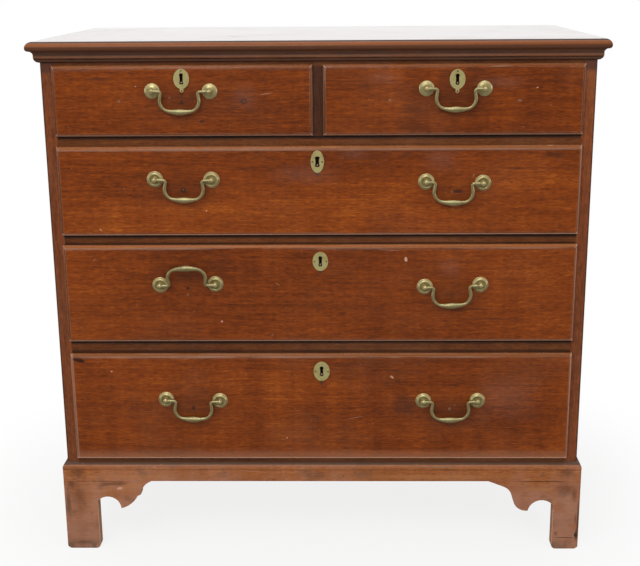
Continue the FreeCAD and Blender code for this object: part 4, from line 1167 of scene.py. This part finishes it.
def bail_line():
    """Right half of the bail's centre line, from its middle to the pin's end: (out, down)."""
    slope, lean, corner, turn = BAIL_SLOPE, BAIL_LEAN, BAIL_CORNER, BAIL_TURN
    sweep = (BAIL_HALF_WIDTH - corner * (1 - math.sin(slope))) / math.sin(slope)
    points = []
    for i in range(GRIP_STEPS + 1):
        angle = slope * i / GRIP_STEPS
        points.append((sweep * math.sin(angle), BAIL_DROP - sweep * (1 - math.cos(angle))))
    out = BAIL_HALF_WIDTH - corner
    down = points[-1][1] - corner * math.cos(slope)
    last = math.pi / 2 + lean
    for i in range(1, CORNER_STEPS + 1):
        angle = slope + (last - slope) * i / CORNER_STEPS
        points.append((out + corner * math.sin(angle), down + corner * math.cos(angle)))
    start = points[-1]
    rise = start[1] - turn * (1 + math.sin(lean))
    for i in range(1, NECK_STEPS + 1):
        inward = rise * math.tan(lean) * i / NECK_STEPS
        points.append((start[0] - inward, start[1] - rise * i / NECK_STEPS))
    centre = (points[-1][0] + turn * math.cos(lean), turn)
    for i in range(1, TURN_IN_STEPS + 1):
        angle = lean * -1 + (math.pi / 2 + lean) * i / TURN_IN_STEPS
        points.append((centre[0] - turn * math.cos(angle), centre[1] - turn * math.sin(angle)))
    first = points[-1][0]
    for i in range(1, PIN_STEPS + 1):
        points.append((first + (PIN_END - first) * i / PIN_STEPS, 0.0))
    return points


def bail_stations():
    """The whole centre line: (out, down, share of the half's length from the middle)."""
    half = bail_line()
    lengths = [0.0]
    for before, after in zip(half, half[1:]):
        lengths.append(lengths[-1] + math.dist(before, after))
    right = [(out, down, length / lengths[-1]) for (out, down), length in zip(half, lengths)]
    return [(-out, down, share) for out, down, share in reversed(right[1:])] + right


def radius_at(share):
    for (low, thin), (high, thick) in zip(BAIL_RADII, BAIL_RADII[1:]):
        if share <= high:
            along = (share - low) / (high - low)
            return thin + (thick - thin) * along * along * (3 - 2 * along)
    return BAIL_RADII[-1][1]


def raise_ridge(ring, centre, share):
    """Lifts the upper side of the grip's rings into the ridge that a casting leaves."""
    strength = RIDGE_HEIGHT * max(0.0, 1.0 - share / RIDGE_END)
    for vert in ring:
        out = vert.co - centre
        vert.co = centre + out * (1.0 + strength * max(0.0, out.normalized().z) ** RIDGE_SHARPNESS)


def bail_mesh(slide):
    """A bail hanging from the origin, slid sideways along its pins."""
    line = bail_stations()
    bm = bmesh.new()
    sideways = Vector((0.0, 1.0, 0.0))
    rings = []
    for i, (out, down, share) in enumerate(line):
        before = line[max(i - 1, 0)]
        after = line[min(i + 1, len(line) - 1)]
        along = Vector((after[0] - before[0], 0.0, before[1] - after[1])).normalized()
        facing = Matrix((sideways.cross(along), sideways, along)).transposed().to_4x4()
        seat = Matrix.Translation((out + slide, 0.0, -down)) @ facing
        ring = bmesh.ops.create_circle(bm, segments=RING_POINTS, radius=radius_at(share), matrix=seat,
                                       cap_ends=i in (0, len(line) - 1))["verts"]
        raise_ridge(ring, seat.translation, share)
        rings.append(list({edge for vert in ring for edge in vert.link_edges}))
    for first, second in zip(rings, rings[1:]):
        bmesh.ops.bridge_loops(bm, edges=first + second)
    bmesh.ops.recalc_face_normals(bm, faces=bm.faces)
    return bm


def make_bail(pull, brass):
    """Cast bail: thin pins, round shoulders, slim necks and a swelled, ridged grip."""
    middle, across = pull_middle(pull)
    low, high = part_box("bail_" + pull)
    bm = bail_mesh(((low.x + high.x) / 2 - middle.x) / across.x)
    raised = RAISED_ANGLE if pull == RAISED_PULL else 0.0
    tilt = math.atan2(across.z, across.x)
    place = (Matrix.Translation(middle) @ Matrix.Rotation(-tilt, 4, "Y")
             @ Matrix.Rotation(-raised, 4, "X"))
    bmesh.ops.transform(bm, matrix=place, verts=bm.verts)
    add_piece("handle_" + pull, bm, "pull_" + pull, [brass], "bail_" + pull, BRASS_SMOOTH)


# Half width of a keyhole's slot as cut, and as worn by keys; its room in a plate's width and height
SLOT_HALF_WIDTH = 0.0020
WORN_HALF_WIDTH = {drawer: 0.0032 if drawer == "upper" else 0.0026 for drawer in DRAWERS}
KEYHOLE_HALF_ROOM = 0.0033
KEYHOLE_OVER_BASE = 0.0080
KEYHOLE_UNDER_TOP = 0.0060
PLATE_RIM = 0.0013
PIN_STAND = 0.0002


def keyhole_room(drawer):
    """Middle in X, bottom and top of the part of a plate that holds the keyhole."""
    low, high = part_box("drawer_" + drawer + "_escutcheon")
    return (low.x + high.x) / 2, low.z + KEYHOLE_OVER_BASE, high.z - KEYHOLE_UNDER_TOP


def make_escutcheon(drawer, brass, pin_brass):
    """Plate with a rounded rim, a keyhole worn wide by keys, and darker pins."""
    node = "drawer_" + drawer + "_escutcheon"
    bm = copy_of(node)
    flat = max((face for face in bm.faces if face.normal.y < -0.9), key=lambda face: face.calc_area())
    face_y = flat.calc_center_median().y
    for face in bm.faces:
        face.material_index = int(min(vert.co.y for vert in face.verts) < face_y - PIN_STAND)
    x, bottom, top = keyhole_room(drawer)
    hole = [vert for vert in bm.verts
            if abs(vert.co.x - x) < KEYHOLE_HALF_ROOM and bottom < vert.co.z < top]
    rim_edges = [edge for edge in bm.edges if is_outer_arris(edge) and edge.verts[0] not in hole
                 and all(abs(vert.co.y - face_y) < 0.00001 for vert in edge.verts)]
    for vert in hole:
        out = vert.co.x - x
        worn = WORN_HALF_WIDTH[drawer] * math.sqrt(abs(out) / SLOT_HALF_WIDTH)
        vert.co.x = x + math.copysign(worn, out)
    bevel(bm, rim_edges, PLATE_RIM, 3)
    add_piece("escutcheon_" + drawer, bm, "drawer_" + drawer, [brass, pin_brass], node,
              BRASS_SMOOTH)


def make_brass():
    for index, drawer in enumerate(DRAWERS):
        turned = aged_brass("rosette", 0.3 * index, drawer + " ")
        cast = aged_brass("handle", 0.3 * index + 5.0, drawer + " ")
        make_posts(drawer, turned)
        for pull in PULLS[drawer]:
            make_bail(pull, cast)
    plate = aged_brass("escutcheon", 2.0)
    pin = aged_brass("escutcheon pin", 4.0)
    for drawer in DRAWERS:
        make_escutcheon(drawer, plate, pin)


# ---------------------------------------------------------------- carried-over pieces


def paint_node(node, material):
    carried = frame["nodes"][node]
    if not carried.material_slots:
        carried.data.materials.append(material)
    for entry in carried.material_slots:
        entry.material = material


def paint_inner_pieces():
    oak_side = plain_wood("drawer side oak", "Y", 41.0, OAK, OAK_PORES)
    oak_bottom = plain_wood("drawer bottom oak", "X", 43.0, OAK, OAK_PORES)
    pine_board = plain_wood("bottom board pine", "X", 45.0, PINE, PINE_PORES)
    pine_bar = plain_wood("runner pine", "Y", 47.0, PINE, PINE_PORES)
    face_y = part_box("drawer_lower_front")[0].y
    iron = old_iron("lock iron", face_y + 0.004)
    finishes = {"box": oak_side, "bottom": oak_bottom, "lock": iron, "lock_bolt": iron}
    for drawer in DRAWERS:
        for piece, material in finishes.items():
            paint_node("drawer_" + drawer + "_" + piece, material)
    for node in ("bottom_board", "dust_boards", "base_blocks", "drawer_stops"):
        paint_node(node, pine_board)
    paint_node("drawer_runners", pine_bar)


# ---------------------------------------------------------------- stage

FLOOR_HALF_WIDTH = 6.0
OVERHEAD_LIGHT = 3.0
SIDE_LIGHT = 1.6
ROOM_LIGHT = 0.42
WHITE = (1.0, 1.0, 1.0, 1.0)


def floor_material():
    """White to the camera, a little darker under the chest, matt to the lamps, dark in reflections."""
    material = bpy.data.materials.new("floor")
    tree = cleared(material)
    path = put(tree, "LightPath").outputs
    colour = mix(tree, path["Is Glossy Ray"], (0.78, 0.78, 0.78, 1.0), (0.16, 0.16, 0.16, 1.0))
    matt = put(tree, "BsdfDiffuse", {"Color": colour})
    glow = put(tree, "Emission", {"Color": WHITE, "Strength": 1.0})
    away = length_of(tree, object_place(tree))
    white = times(tree, spread(tree, away, 0.40, 0.90, 0.84, 1.0), path["Is Camera Ray"])
    both = put(tree, "MixShader", {0: white, 1: matt.outputs[0], 2: glow.outputs[0]})
    put(tree, "OutputMaterial", {"Surface": both.outputs[0]})
    return material


def make_floor():
    bm = bmesh.new()
    bmesh.ops.create_grid(bm, x_segments=1, y_segments=1, size=FLOOR_HALF_WIDTH)
    mesh = bpy.data.meshes.new("floor")
    bm.to_mesh(mesh)
    bm.free()
    mesh.materials.append(floor_material())
    floor = bpy.data.objects.new("floor", mesh)
    link(floor)
    floor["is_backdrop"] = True


def make_room():
    """Soft white room: white to the camera, and in reflections dim in front and bright above."""
    world = bpy.data.worlds.new("studio")
    bpy.context.scene.world = world
    tree = cleared(world)
    path = put(tree, "LightPath").outputs
    way = coordinates(tree, put(tree, "TexCoord").outputs["Generated"])
    beside = spread(tree, way["Y"], -0.70, 0.05)
    above = spread(tree, way["Z"], 0.20, 0.80)
    wall = times(tree, between(tree, way["Z"], 0.16, 0.55, 0.08), spread(tree, way["Y"], 0.1, 0.5))
    bright = times(tree, calc(tree, "MAXIMUM", beside, above), spread(tree, wall, 0.0, 1.0, 1.0, 0.25))
    overhead = spread(tree, way["Z"], 0.90, 0.97, 0.0, OVERHEAD_LIGHT)
    sideways = spread(tree, calc(tree, "ABSOLUTE", way["X"]), 0.90, 0.97, 0.0, SIDE_LIGHT)
    bright = plus(tree, bright, calc(tree, "MAXIMUM", overhead, sideways))
    mirrored = put(tree, "MapRange", {"Value": bright, "To Min": 0.08, "To Max": 1.0},
                   clamp=False).outputs["Result"]
    strength = mix(tree, path["Is Glossy Ray"], ROOM_LIGHT, mirrored, "FLOAT")
    strength = mix(tree, path["Is Camera Ray"], strength, 1.0, "FLOAT")
    back = put(tree, "Background", {"Color": WHITE, "Strength": strength})
    put(tree, "OutputWorld", {"Surface": back.outputs[0]})


def make_stage():
    make_floor()
    make_room()
    for lamp in LAMPS:
        make_lamp(*lamp)


# ---------------------------------------------------------------- build

make_camera()
make_stage()
bpy.context.scene.view_settings.view_transform = "Standard"
make_top()
make_base()
make_sides()
make_rails()
make_back()
make_fronts()
make_brass()
paint_inner_pieces()

low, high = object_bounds()
size = {"cad": [[float(v) for v in corner] for corner in cad_bounds],
        "visual": [[float(v) for v in corner] for corner in (low, high)]}
